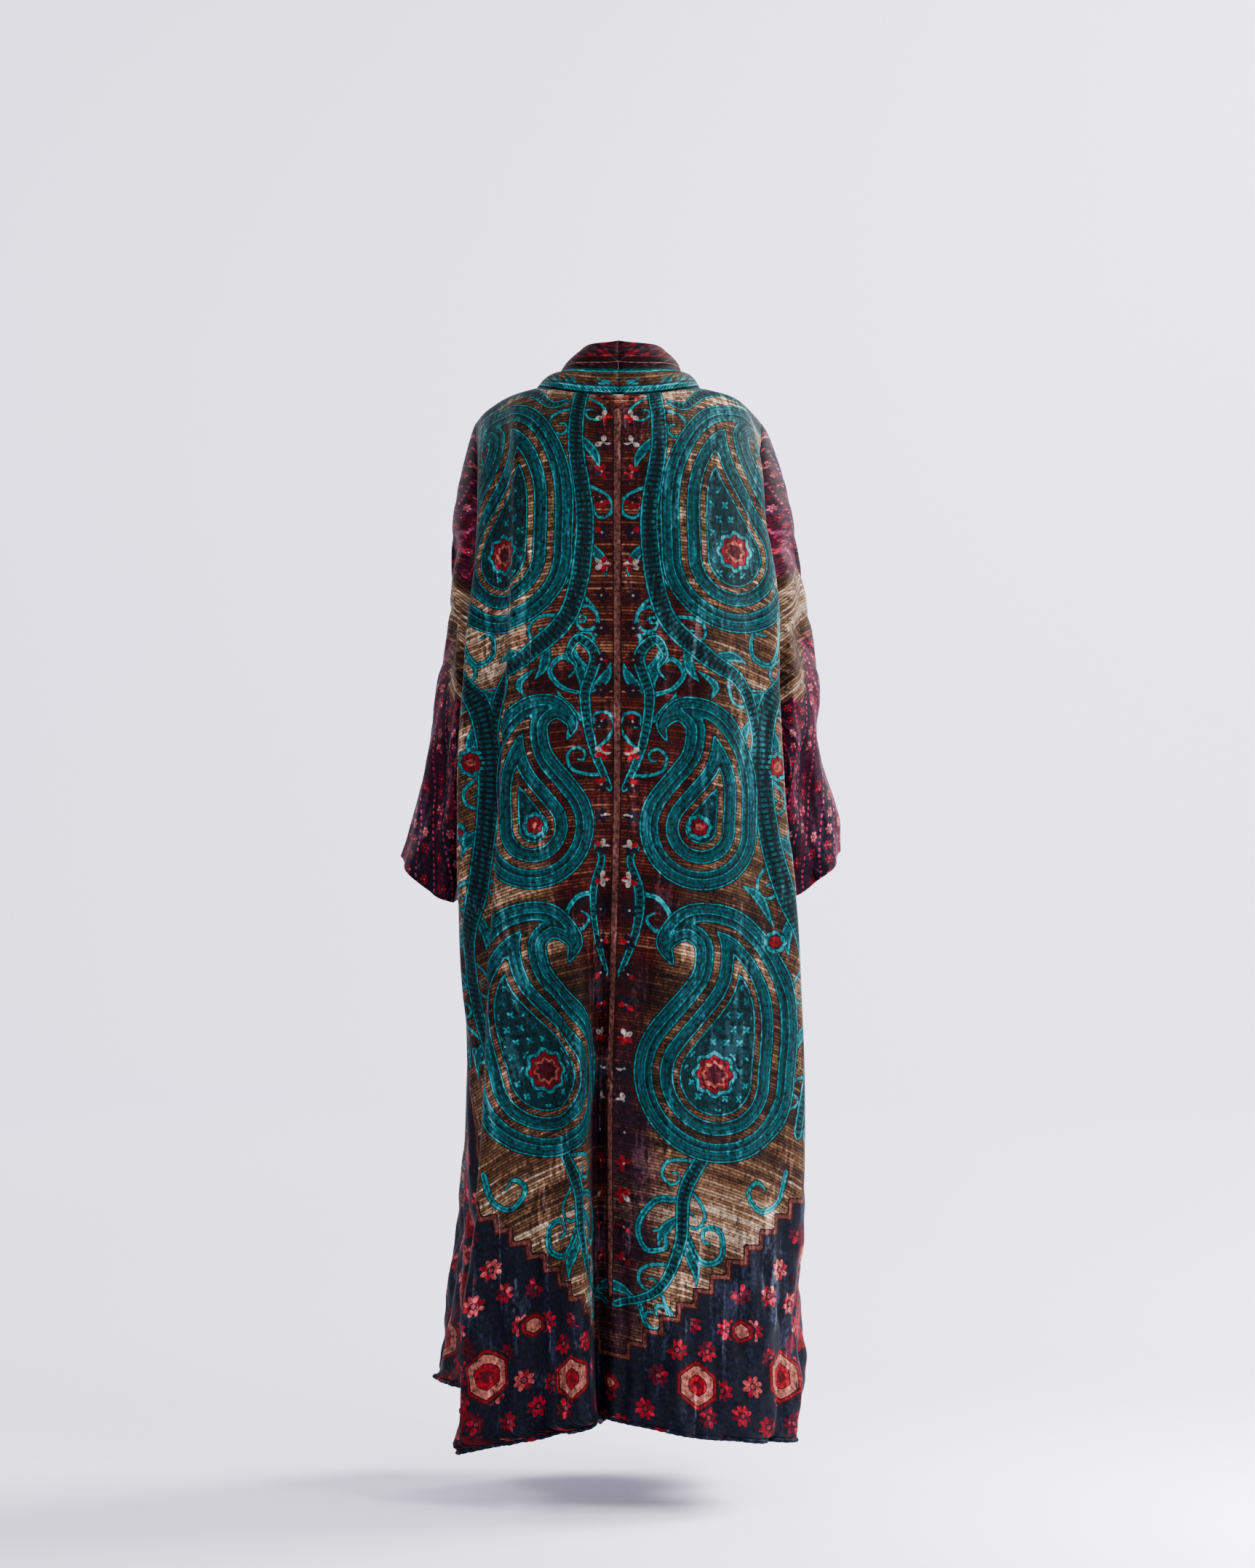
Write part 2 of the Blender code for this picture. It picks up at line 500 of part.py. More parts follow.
# One edge of a piece of cloth: its points, the way from each into the piece, and the way it faces
Edge = namedtuple("Edge", "points inward outward")


def edge_of(points, next_points, outward):
    inward = next_points - points
    return Edge(points, inward / np.linalg.norm(inward, axis=-1, keepdims=True), outward)


def stretch(edge, order):
    """Some points of an edge, in an order of their own."""
    return Edge(edge.points[order], edge.inward[order], edge.outward[order])


def drawn_back(edge, split):
    """How far an edge moves into its piece to stay on its own side of the plane that faces split."""
    lean = np.sum(edge.outward * split, axis=-1)
    reach = np.maximum(np.sum(edge.inward * split, axis=-1), LEAST_SEAM_REACH)
    back = (SEAM_GAP / 2 + CLOTH_THICKNESS * np.maximum(lean, 0)) / reach
    return edge.inward * back[:, None]


def part_seam(one, other):
    """How far two edges that run along one line move apart, each into its own piece.

    Both walls then stay a seam's gap apart at the plane that halves the angle between the pieces, also
    at their inner corners where they meet at an angle.
    """
    split = one.inward - other.inward
    split = split / np.linalg.norm(split, axis=-1, keepdims=True)
    return drawn_back(one, split), drawn_back(other, -split)


def part_pieces(back, front, band, sleeve):
    """Opens the seams between the back and the right-hand front, band half and sleeve, in place."""
    back_out, front_out, band_out = outward_of(back), outward_of(front), outward_of(band)
    sleeve_out = outward_of(sleeve, closed=True)
    back_top = edge_of(back[0], back[1], back_out[0])
    back_side = edge_of(back[:, -1], back[:, -2], back_out[:, -1])
    front_top = edge_of(front[0], front[1], front_out[0])
    front_side = edge_of(front[:, 0], front[:, 1], front_out[:, 0])
    front_edge = edge_of(front[:, -1], front[:, -2], front_out[:, -1])
    band_seam = edge_of(band[:, 0], band[:, 1], band_out[:, 0])
    band_back = edge_of(band[0], band[1], band_out[0])
    ring = edge_of(sleeve[0], sleeve[1], sleeve_out[0])
    other_band = Edge(*(mirrored(field) for field in band_back))

    middle = back.shape[1] // 2
    neck = np.arange(BAND_NECK_COLUMNS + 1)
    shoulder = np.arange(middle + BAND_NECK_COLUMNS, back.shape[1])
    arm = np.arange(ARMHOLE_ROWS + 1)
    skirt = np.arange(ARMHOLE_ROWS, len(back))
    down = np.arange(len(front))
    seams = (
        (back_top, shoulder, front_top, np.arange(front.shape[1])[::-1]),
        (back_side, skirt, front_side, skirt),
        (back_top, middle + neck, band_seam, neck),
        (front_edge, down, band_seam, BAND_NECK_COLUMNS + down),
        (front_side, arm, ring, arm),
        (back_side, arm, ring, -arm % len(ring.points)),
        (band_back, np.arange(band.shape[1]), other_band, np.arange(band.shape[1])),
    )
    moves = []
    for one, one_order, other, other_order in seams:
        one_move, other_move = part_seam(stretch(one, one_order), stretch(other, other_order))
        moves.append((one.points, one_order, one_move))
        moves.append((other.points, other_order, other_move))
    for points, order, move in moves:
        points[order] += move


def velvet(name, colour):
    made = bpy.data.materials.new(name)
    made.use_nodes = True
    shader = made.node_tree.nodes["Principled BSDF"]
    shader.inputs["Base Color"].default_value = (*colour, 1.0)
    shader.inputs["Roughness"].default_value = VELVET_ROUGHNESS
    shader.inputs["Metallic"].default_value = 0.0
    made.diffuse_color = (*colour, 1.0)
    return made


def cloth(name, grid, closed, flip, finish, collection):
    """A piece of cloth from the grid of its outer face. closed joins its last column to its first.

    flip turns its faces over, which a mirrored piece needs so that it thickens inwards.
    """
    rows, columns = grid.shape[:2]
    faces = []
    for row in range(rows - 1):
        for step in range(columns if closed else columns - 1):
            following = (step + 1) % columns
            corners = [
                row * columns + step,
                (row + 1) * columns + step,
                (row + 1) * columns + following,
                row * columns + following,
            ]
            faces.append(corners[::-1] if flip else corners)
    mesh = bpy.data.meshes.new(name)
    mesh.from_pydata([tuple(point) for point in grid.reshape(-1, 3)], [], faces)
    mesh.shade_smooth()
    piece = bpy.data.objects.new(name, mesh)
    piece.data.materials.append(finish)
    collection.objects.link(piece)
    wall = piece.modifiers.new("cloth_thickness", "SOLIDIFY")
    wall.thickness = CLOTH_THICKNESS
    wall.offset = -1.0
    wall.use_even_offset = False
    return piece


def hem_roll(name, centres, finish, collection):
    """The rolled, overcast edge of a hem: a cord just below the cloth's lower edge."""
    curve = bpy.data.curves.new(name, "CURVE")
    curve.dimensions = "3D"
    curve.bevel_depth = HEM_ROLL_RADIUS
    curve.bevel_resolution = 2
    curve.use_fill_caps = True
    spline = curve.splines.new("POLY")
    spline.points.add(len(centres) - 1)
    for point, place in zip(spline.points, centres):
        point.co = (*place, 1.0)
    roll = bpy.data.objects.new(name, curve)
    roll.data.materials.append(finish)
    collection.objects.link(roll)
    return roll


def hem_line(grid):
    """The middle line of a roll that hangs below the lower edge of a panel."""
    edge = grid[-1]
    normal = outward_of(grid)[-1]
    along = np.gradient(edge, axis=0)
    along = along / np.linalg.norm(along, axis=-1, keepdims=True)
    down = np.cross(along, normal)
    down = down * -np.sign(down[:, 2:])
    down = down / np.linalg.norm(down, axis=-1, keepdims=True)
    return edge - normal * CLOTH_THICKNESS / 2 + down * (HEM_ROLL_RADIUS + HEM_ROLL_GAP)


def spaced(line, trim):
    """A line with its ends cut back by trim and no points closer together than a roll can turn."""
    start = line[0] + (line[1] - line[0]) / np.linalg.norm(line[1] - line[0]) * trim
    end = line[-1] + (line[-2] - line[-1]) / np.linalg.norm(line[-2] - line[-1]) * trim
    kept = [start]
    for point in line[1:-1]:
        if min(np.linalg.norm(point - kept[-1]), np.linalg.norm(point - end)) > ROLL_POINT_SPACING:
            kept.append(point)
    return np.array(kept + [end])


def mirrored(grid):
    """The same piece for the other side of the body."""
    other = grid.copy()
    other[..., 0] *= -1
    return other


def clear_scene():
    for item in list(bpy.data.objects):
        bpy.data.objects.remove(item, do_unlink=True)


def main():
    clear_scene()
    collection = bpy.data.collections.new("abaya")
    bpy.context.scene.collection.children.link(collection)
    printed = velvet("printed_velvet", TEAL_PRINT)
    front_finish = velvet("front_velvet", TAN_GROUND)
    sleeve_finish = velvet("sleeve_velvet", WINE_GROUND)
    band_finish = velvet("band_velvet", BROWN_GROUND)
    hem_finish = velvet("hem_cord", NAVY_BORDER)

    back = back_grid()
    for side, front_table, sleeve_table, at_neck in (
        ("right", FRONT_RIGHT, SLEEVE_RIGHT, BAND_NECK_RIGHT),
        ("left", FRONT_LEFT, SLEEVE_LEFT, BAND_NECK_LEFT),
    ):
        front = front_grid(front_table)
        band = band_grid(front, at_neck)
        sleeve = sleeve_grid(sleeve_table)
        part_pieces(back, front, band, sleeve)
        roll = spaced(np.concatenate([hem_line(front), hem_line(band)[1:]]), ROLL_END_GAP)
        left = side == "left"
        if left:
            front, band, sleeve, roll = map(mirrored, (front, band, sleeve, roll))
        cloth("front_" + side, front, False, left, front_finish, collection)
        cloth("neck_band_" + side, band, False, left, band_finish, collection)
        cloth("sleeve_" + side, sleeve, True, left, sleeve_finish, collection)
        hem_roll("hem_roll_" + side, roll, hem_finish, collection)
        back = mirrored(back)[:, ::-1]
    cloth("back", back, False, False, printed, collection)
    hem_roll("hem_roll_back", spaced(hem_line(back), ROLL_END_GAP), hem_finish, collection)


main()
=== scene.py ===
"""A worn velvet abaya in a plain pale studio, seen from behind.

Metres, +Z up. The origin is the middle of the neck at shoulder height, the back faces -Y and +X is on
the right of someone who looks at the back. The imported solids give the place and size. The visible
cloth follows the same tables at a finer step, with the smaller folds, the print and the pile.
"""

import math
from collections import namedtuple

import bpy
import numpy as np
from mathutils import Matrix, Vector, noise


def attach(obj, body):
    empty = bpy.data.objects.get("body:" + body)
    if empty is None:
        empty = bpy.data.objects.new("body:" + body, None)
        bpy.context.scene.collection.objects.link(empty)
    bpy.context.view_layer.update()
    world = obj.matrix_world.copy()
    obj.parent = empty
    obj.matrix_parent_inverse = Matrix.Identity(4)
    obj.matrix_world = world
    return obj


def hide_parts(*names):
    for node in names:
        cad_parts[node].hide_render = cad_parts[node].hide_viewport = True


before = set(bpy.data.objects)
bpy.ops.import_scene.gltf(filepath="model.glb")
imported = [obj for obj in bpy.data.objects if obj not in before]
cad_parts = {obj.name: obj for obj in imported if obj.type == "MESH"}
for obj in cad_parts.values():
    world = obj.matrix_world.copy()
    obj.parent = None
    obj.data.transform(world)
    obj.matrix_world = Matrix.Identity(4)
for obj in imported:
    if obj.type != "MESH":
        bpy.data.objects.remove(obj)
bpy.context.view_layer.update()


def in_metres(value):
    """Millimetres as metres, also in rows within rows."""
    return tuple(in_metres(part) for part in value) if isinstance(value, tuple) else value / 1000


def rows_of(kind, *rows):
    """The named rows of a table. Its numbers are written in thousandths: of a metre, or of the way."""
    return tuple(kind(*in_metres(row)) for row in rows)


# Cloth and seams
CLOTH_THICKNESS = 0.002
SEAM_GAP = 0.00004
SEAM_DIP = 0.0008
SEAM_EASE_ROWS = 5
LEAST_SEAM_REACH = 0.25
HEM_ROLL_DROP = 0.0016
HEM_ROLL_RADIUS = 0.0032

# Neck, shoulders and armholes
NECK_HALF_WIDTH = 0.115
NECK_BACK_DEPTH = 0.078
NECK_SIDE_Z = 0.010
NECK_BACK_Z = -0.008
SHOULDER_X = 0.202
SHOULDER_Y = 0.020
SHOULDER_Z = -0.038
SHOULDER_ROUNDING = 0.6
UNDERARM_X = 0.172
UNDERARM_Z = -0.420
ARMHOLE_HALF_DEPTH = 0.055

# Rows and columns of faces in the visible cloth. The yoke ends at this angle round the armhole.
YOKE_ANGLE = math.pi * 5 / 12
YOKE_ROWS = 40
ARMHOLE_ROWS = 96
SKIRT_ROWS = 220
FINE_COLUMNS = 3
BACK_COLUMNS = tuple(FINE_COLUMNS * count for count in (3, 4, 4, 7, 3, 2, 1, 6, 7, 4, 4, 3))
FRONT_COLUMNS = tuple(FINE_COLUMNS * count for count in (6, 7, 5))
BAND_NECK_COLUMNS = FINE_COLUMNS * 6
BAND_ACROSS = 24
SLEEVE_ROWS = 130
CREASE_HALF_WIDTH = 0.07

# The middle line of the back swings to the left by this much between these two heights
MIDDLE_LEAN = 0.013
MIDDLE_LEAN_START = -0.50
MIDDLE_LEAN_FULL = -1.00
# The back's outline in plan, in halves, outwards from the middle. Both have a soft quarter point, the
# edge of the fold that shows, the tuck behind it, the wing that hangs behind the arm, and the side
# seam. The left half also has the dip and the ridge of the long fold beside the middle.
BackRight = namedtuple("BackRight", "z mid_x mid_y edge_x edge_y tuck_x tuck_y wing_x wing_y seam_x seam_y")
BackLeft = namedtuple("BackLeft", "z dip_x dip_y ridge_x ridge_y " + " ".join(BackRight._fields[1:]))

BACK_RIGHT = rows_of(
    BackRight,
    (-170, 106, -119, 204, -66, 198, -52, 192, -41, 186, 20),
    (-300, 112, -130, 225, -68, 210, -50, 196, -39, 178, 20),
    (-430, 116, -134, 229, -70, 209, -48, 196, -22, 172, 20),
    (-560, 118, -132, 234, -70, 213, -46, 202, -20, 174, 22),
    (-700, 120, -130, 248, -70, 230, -42, 245, -14, 190, 35),
    (-900, 122, -132, 258, -72, 240, -40, 257, -6, 214, 55),
    (-1120, 126, -140, 260, -74, 242, -40, 261, 0, 224, 66),
    (-1250, 127, -146, 253, -76, 236, -42, 252, 2, 225, 70),
    (-1360, 128, -148, 256, -78, 238, -42, 254, 4, 225, 73),
    (-1460, 126, -150, 238, -84, 222, -50, 238, 0, 222, 74),
)
BACK_LEFT = rows_of(
    BackLeft,
    (-170, 18, -122, 46, -122, 104, -117, 142, -108, 148, -97, 196, -62, 186, 20),
    (-300, 18, -134, 46, -135, 102, -131, 147, -117, 151, -98, 210, -64, 178, 20),
    (-430, 18, -137, 46, -140, 100, -136, 156, -120, 156, -96, 221, -64, 172, 20),
    (-560, 18, -133, 46, -138, 100, -134, 165, -119, 160, -91, 231, -60, 174, 22),
    (-700, 18, -126, 45, -136, 102, -130, 174, -115, 164, -83, 232, -44, 190, 35),
    (-900, 19, -121, 48, -146, 104, -126, 183, -110, 168, -71, 214, -20, 190, 55),
    (-1120, 22, -119, 55, -162, 110, -128, 197, -108, 177, -62, 219, -6, 199, 66),
    (-1250, 21, -119, 53, -168, 113, -131, 207, -107, 186, -58, 220, 4, 204, 73),
    (-1360, 20, -119, 44, -170, 114, -132, 216, -106, 193, -56, 222, 10, 208, 79),
    (-1460, 17, -121, 30, -170, 112, -134, 226, -104, 198, -52, 216, 14, 210, 82),
)
MIDDLE_BACK_Y = in_metres((-122, -134, -138, -134, -128, -127, -130, -133, -134, -136))

# A front's outline in plan, from the side seam to the edge of the opening.
FrontSection = namedtuple("FrontSection", "z seam_x seam_y side_x side_y quarter_x quarter_y edge_x edge_y")

FRONT_RIGHT = rows_of(
    FrontSection,
    (-170, 186, 20, 170, 92, 125, 112, 74, 118),
    (-300, 178, 20, 168, 108, 128, 142, 76, 152),
    (-430, 172, 20, 172, 86, 130, 138, 78, 154),
    (-560, 174, 22, 176, 84, 132, 134, 78, 150),
    (-700, 190, 35, 196, 94, 144, 146, 80, 160),
    (-900, 214, 55, 228, 122, 160, 180, 82, 188),
    (-1120, 224, 66, 244, 142, 172, 206, 84, 212),
    (-1250, 225, 70, 250, 150, 177, 218, 85, 222),
    (-1360, 225, 73, 254, 156, 180, 227, 86, 231),
    (-1460, 222, 74, 256, 162, 184, 234, 88, 238),
)
FRONT_LEFT = FRONT_RIGHT[:3] + rows_of(
    FrontSection,
    (-560, 174, 22, 178, 84, 134, 134, 78, 150),
    (-700, 190, 35, 204, 96, 150, 150, 80, 160),
    (-900, 190, 55, 214, 126, 162, 184, 82, 188),
    (-1120, 199, 66, 225, 150, 174, 210, 84, 212),
    (-1250, 204, 73, 240, 168, 182, 224, 85, 222),
    (-1360, 208, 79, 257, 184, 192, 238, 86, 233),
    (-1460, 210, 82, 270, 196, 200, 246, 88, 240),
)

# Where the hems hang, at each of the points that the outlines are drawn through, seam to seam or edge
BACK_HEM = in_metres(
    (-1408, -1424, -1446, -1464, -1438, -1418, -1412, -1411, -1436, -1449, -1440, -1422, -1408)
)
FRONT_HEM = in_metres((-1408, -1404, -1400, -1400))

# A sleeve, from the armhole to the cuff: the outermost and innermost points of each ring seen from
# behind, the ring's middle and half depth from back to front, and how far its back hangs lower.
SleeveRing = namedtuple("SleeveRing", "step out_x out_z in_x in_z middle_y half_depth sag")

ARMHOLE = (SHOULDER_X, SHOULDER_Z, UNDERARM_X, UNDERARM_Z, SHOULDER_Y, ARMHOLE_HALF_DEPTH)
ARMHOLE_RING = SleeveRing(0, *ARMHOLE, 0)

SLEEVE_RIGHT = (ARMHOLE_RING,) + rows_of(
    SleeveRing,
    (50, 211, -53, 184, -424, 22, 56, 0),
    (140, 227, -98, 192, -446, 28, 58, 0),
    (300, 250, -205, 201, -480, 44, 66, 4),
    (460, 266, -310, 206, -520, 60, 74, 8),
    (600, 282, -415, 209, -562, 74, 82, 12),
    (700, 280, -466, 211, -596, 84, 86, 14),
    (820, 296, -532, 215, -640, 96, 92, 18),
    (920, 317, -590, 221, -680, 104, 96, 22),
    (1000, 318, -636, 228, -708, 108, 96, 18),
)
SLEEVE_LEFT = (ARMHOLE_RING,) + rows_of(
    SleeveRing,
    (50, 208, -55, 184, -424, 22, 56, 0),
    (140, 219, -98, 190, -446, 28, 58, 0),
    (300, 234, -200, 199, -480, 44, 66, 4),
    (460, 235, -312, 204, -520, 60, 74, 8),
    (600, 253, -402, 207, -562, 74, 82, 12),
    (700, 262, -452, 209, -596, 84, 86, 14),
    (820, 278, -530, 213, -640, 96, 92, 18),
    (920, 296, -600, 219, -680, 104, 96, 22),
    (1000, 311, -646, 226, -712, 108, 96, 18),
)

# The neck band, from the middle of the back (0) round the side of the neck (1) to the yoke's foot on
# the front (1.5) and on to the hem at the same rate: how its width runs from the neck seam to its free
# edge, how far its lower half rolls out and how deep the crease above it is.
BandStation = namedtuple("BandStation", "step across_x across_y across_z roll crease")

BAND_NECK_RIGHT = rows_of(
    BandStation,
    (0, 0, 26, 79, 10, 4.5),
    (500, -26, 20, 64, 10, 4.5),
    (1000, -48, 12, 28, 5, 3),
)
BAND_NECK_LEFT = rows_of(
    BandStation,
    (0, 0, 26, 79, 10, 4.5),
    (500, -37, 18, 64, 9, 4),
    (1000, -56, 12, 26, 5, 2),
)
BAND_FRONT = rows_of(
    BandStation,
    (1200, -55, 12, 14, 3, 0),
    (1500, -55, 10, 2, 3, 0),
    (2000, -55, 5, 0, 2, 0),
    (6000, -55, 3, 0, 2, 0),
)

# A fold in a hanging panel: where its line starts and ends across the panel and down it, how far it
# stands out there (in, if negative), and its half width.
Fold = namedtuple("Fold", "top_x top_z low_x low_z top_depth low_depth half_width")

BACK_FOLDS = rows_of(
    Fold,
    (122, -120, 156, -780, 6, 5, 16),
    (152, -200, 190, -700, -4, -3, 16),
    (98, -700, 94, -1050, 5, 2, 14),
    (-90, -950, -85, -1470, -2, -8, 20),
    (-134, -1050, -140, -1470, 1, 11, 14),
    (-180, -1100, -178, -1470, -1, -8, 14),
    (48, -950, 40, -1470, -1, -7, 26),
    (90, -1000, 96, -1470, 1, 6, 26),
    (150, -950, 158, -1470, -1, -9, 18),
    (184, -950, 186, -1470, 1, 9, 12),
    (212, -1050, 206, -1470, -1, -8, 10),
    (60, -30, 75, -240, 2, 3, 14),
    (-60, -30, -70, -240, 2, 3, 14),
    (-70, -300, -92, -720, -2, -4, 22),
)
FRONT_FOLDS = rows_of(
    Fold,
    (100, -200, 104, -1470, -2, -10, 14),
    (124, -140, 134, -1470, 3, 12, 14),
    (146, -260, 162, -1470, -3, -12, 14),
    (160, -500, 190, -1470, 3, 12, 14),
    (176, -720, 216, -1470, -2, -10, 14),
    (112, -50, 100, -200, 2, 3, 12),
)
# The stretch over which a fold starts or ends, the share of a panel's width beside each seam where
# folds die out, how far the panel must face back or front for a full fold, and the share of a sleeve's
# fold in which it starts.
FOLD_FADE = 0.10
FLAT_EDGE_SHARE = 0.125
FACING_FOR_FULL_FOLD = 0.6
SLEEVE_FOLD_START = 0.25

# A fold round a sleeve: the angle of its line, 0 outwards and -90 at the back, at two rings.
SleeveFold = namedtuple("SleeveFold", "top_angle top_step low_angle low_step top_depth low_depth half_angle")

SLEEVE_FOLDS = (
    SleeveFold(-46.0, 0.05, -128.0, 1.00, 0.003, 0.010, 17.0),
    SleeveFold(-14.0, 0.20, -92.0, 1.00, -0.004, -0.009, 16.0),
    SleeveFold(10.0, 0.35, -56.0, 1.00, 0.003, 0.006, 16.0),
    SleeveFold(60.0, 0.05, 20.0, 1.00, -0.003, -0.006, 20.0),
    SleeveFold(100.0, 0.10, 62.0, 1.00, 0.004, 0.006, 18.0),
    SleeveFold(140.0, 0.30, 104.0, 1.00, -0.003, -0.006, 18.0),
)


# These keep sums from dividing by zero
LEAST_GAP = 1e-9
LEAST_LENGTH = 1e-12


def smooth_between(at, knots, values):
    """A smooth curve through (knot, value) pairs, which turns without overshooting much."""
    knots = np.asarray(knots, float)
    values = np.asarray(values, float)
    order = np.argsort(knots)
    knots, values = knots[order], values[order]
    slopes = np.gradient(values, knots)
    at = np.clip(at, knots[0], knots[-1])
    low = np.clip(np.searchsorted(knots, at, side="right") - 1, 0, len(knots) - 2)
    width = knots[low + 1] - knots[low]
    part = (at - knots[low]) / width
    rise = part * part * (3 - 2 * part)
    start_pull = part * (1 - part) ** 2 * width * slopes[low]
    end_pull = part * part * (part - 1) * width * slopes[low + 1]
    return values[low] * (1 - rise) + values[low + 1] * rise + start_pull + end_pull


def column(table, name):
    """The numbers of one column of a table."""
    return [getattr(row, name) for row in table]


def read_along(step, table):
    """Each column of a table whose first column is its step, read at the steps given."""
    return [smooth_between(step, column(table, "step"), column(table, name)) for name in table[0]._fields]


def curve_at(at, knots, points):
    """Places on a smooth line through points, which lie at the knots."""
    return np.stack([smooth_between(at, knots, values) for values in points.T], axis=-1)


def run_along(line):
    """The length run along a line at each of its points."""
    return np.concatenate([[0], np.cumsum(np.linalg.norm(np.diff(line, axis=0), axis=-1))])


def unit(ways):
    """The same ways with length 1."""
    return ways / np.maximum(np.linalg.norm(ways, axis=-1, keepdims=True), LEAST_LENGTH)


def spline_through(controls, segment, part):
    """A centripetal curve through controls (..., count, 2), at a part of one of its segments.

    controls has one set of points for each place; segment and part say where on the curve it lies.
    """
    count = controls.shape[-2]
    before = 2 * controls[..., :1, :] - controls[..., 1:2, :]
    after = 2 * controls[..., -1:, :] - controls[..., -2:-1, :]
    padded = np.concatenate([before, controls, after], axis=-2)
    segment = np.clip(segment, 0, count - 2)
    corners = []
    for step in range(4):
        index = np.broadcast_to((segment + step)[..., None, None], controls.shape[:-2] + (1, 2))
        corners.append(np.take_along_axis(padded, index, axis=-2)[..., 0, :])
    knots = [np.zeros(controls.shape[:-2])]
    for first, second in zip(corners, corners[1:]):
        gap = np.sqrt(np.linalg.norm(second - first, axis=-1)) + LEAST_GAP
        knots.append(knots[-1] + gap)
    at = knots[1] + part * (knots[2] - knots[1])

    def blend(first, second, first_knot, second_knot):
        """Goes from first to second between their knots."""
        share = ((at - first_knot) / (second_knot - first_knot))[..., None]
        return first * (1 - share) + second * share

    near = blend(corners[0], corners[1], knots[0], knots[1])
    middle = blend(corners[1], corners[2], knots[1], knots[2])
    far = blend(corners[2], corners[3], knots[2], knots[3])
    low, high = blend(near, middle, knots[0], knots[2]), blend(middle, far, knots[1], knots[3])
    return blend(low, high, knots[1], knots[2])


def columns_of(counts):
    """The segment and the part of it for each column of a panel, with counts faces per segment."""
    places = [(index, step / count) for index, count in enumerate(counts) for step in range(count)]
    segments, parts = zip(*places, (len(counts) - 1, 1.0))
    return np.array(segments), np.array(parts)


def armhole_edge(angle, side):
    """A point of the armhole seam: angle 0 at the shoulder, pi at the underarm, side -1 at the back."""
    level = (1 + np.cos(angle)) / 2
    x = UNDERARM_X + (SHOULDER_X - UNDERARM_X) * level
    y = SHOULDER_Y + side * ARMHOLE_HALF_DEPTH * np.sin(angle)
    z = UNDERARM_Z + (SHOULDER_Z - UNDERARM_Z) * level
    return np.stack([x, y, z], axis=-1)


def armhole_angles():
    """The angle of each row at the armhole: even steps over the shoulder, then even drops."""
    over = np.linspace(0, YOKE_ANGLE, YOKE_ROWS + 1)
    levels = np.linspace((1 + math.cos(YOKE_ANGLE)) / 2, 0, ARMHOLE_ROWS - YOKE_ROWS + 1)
    return np.concatenate([over, np.arccos(2 * levels[1:] - 1)])


def shoulder_line(share):
    """A point of the shoulder seam, from the side of the neck (0) to the shoulder point (1)."""
    share = np.asarray(share, float)
    fall = share * (1 - SHOULDER_ROUNDING) + share**3 * SHOULDER_ROUNDING
    x = NECK_HALF_WIDTH + (SHOULDER_X - NECK_HALF_WIDTH) * share
    z = NECK_SIDE_Z + (SHOULDER_Z - NECK_SIDE_Z) * fall
    return np.stack([x, SHOULDER_Y * share, z], axis=-1)


def neckline(share):
    """A point of the back neckline, from the middle of the back (0) to the side of the neck (1)."""
    angle = np.asarray(share, float) * math.pi / 2
    x = NECK_HALF_WIDTH * np.sin(angle)
    y = -NECK_BACK_DEPTH * np.cos(angle)
    z = NECK_BACK_Z + (NECK_SIDE_Z - NECK_BACK_Z) * np.sin(angle) ** 2
    return np.stack([x, y, z], axis=-1)


def outward_of(grid, closed=False):
    """Which way a piece's outer face looks at each point of its grid. closed makes its columns a ring."""
    if closed:
        ringed = np.concatenate([grid[:, -1:], grid, grid[:, :1]], axis=1)
        return outward_of(ringed)[:, 1:-1]
    return unit(np.cross(np.gradient(grid, axis=0), np.gradient(grid, axis=1)))


def eased(share):
    """A share held between 0 and 1 that leaves 0 and reaches 1 gently."""
    share = np.clip(share, 0, 1)
    return share * share * (3 - 2 * share)


def fold_heights(folds, x, z, quiet):
    """How far the folds lift the cloth at x and z. quiet is 0 at a seam, so that seams keep their line."""
    height = np.zeros_like(x)
    for fold in folds:
        share = (z - fold.top_z) / (fold.low_z - fold.top_z)
        line = fold.top_x + (fold.low_x - fold.top_x) * share
        depth = fold.top_depth + (fold.low_depth - fold.top_depth) * np.clip(share, 0, 1)
        length = fold.top_z - fold.low_z
        fade = eased(share * length / FOLD_FADE + 0.5) * eased((1 - share) * length / FOLD_FADE + 0.5)
        height += depth * fade * np.exp(-(((x - line) / fold.half_width) ** 2))
    return height * quiet


def panel_heights(hem):
    """The height of each row below the yoke, for columns that end at the heights in hem."""
    above = armhole_edge(armhole_angles()[YOKE_ROWS:], 0)[:, 2]
    below = UNDERARM_Z + np.linspace(0, 1, SKIRT_ROWS + 1)[1:, None] * (hem - UNDERARM_Z)[None]
    return np.concatenate([np.repeat(above[:, None], len(hem), axis=1), below])


def section_points(table, names, z):
    """Control points of half an outline at each height, from the points of the table with these names."""
    points = []
    for name in names:
        x = smooth_between(z, column(table, "z"), column(table, name + "_x"))
        y = smooth_between(z, column(table, "z"), column(table, name + "_y"))
        points.append(np.stack([x, y], axis=-1))
    return np.stack(points, axis=-2)


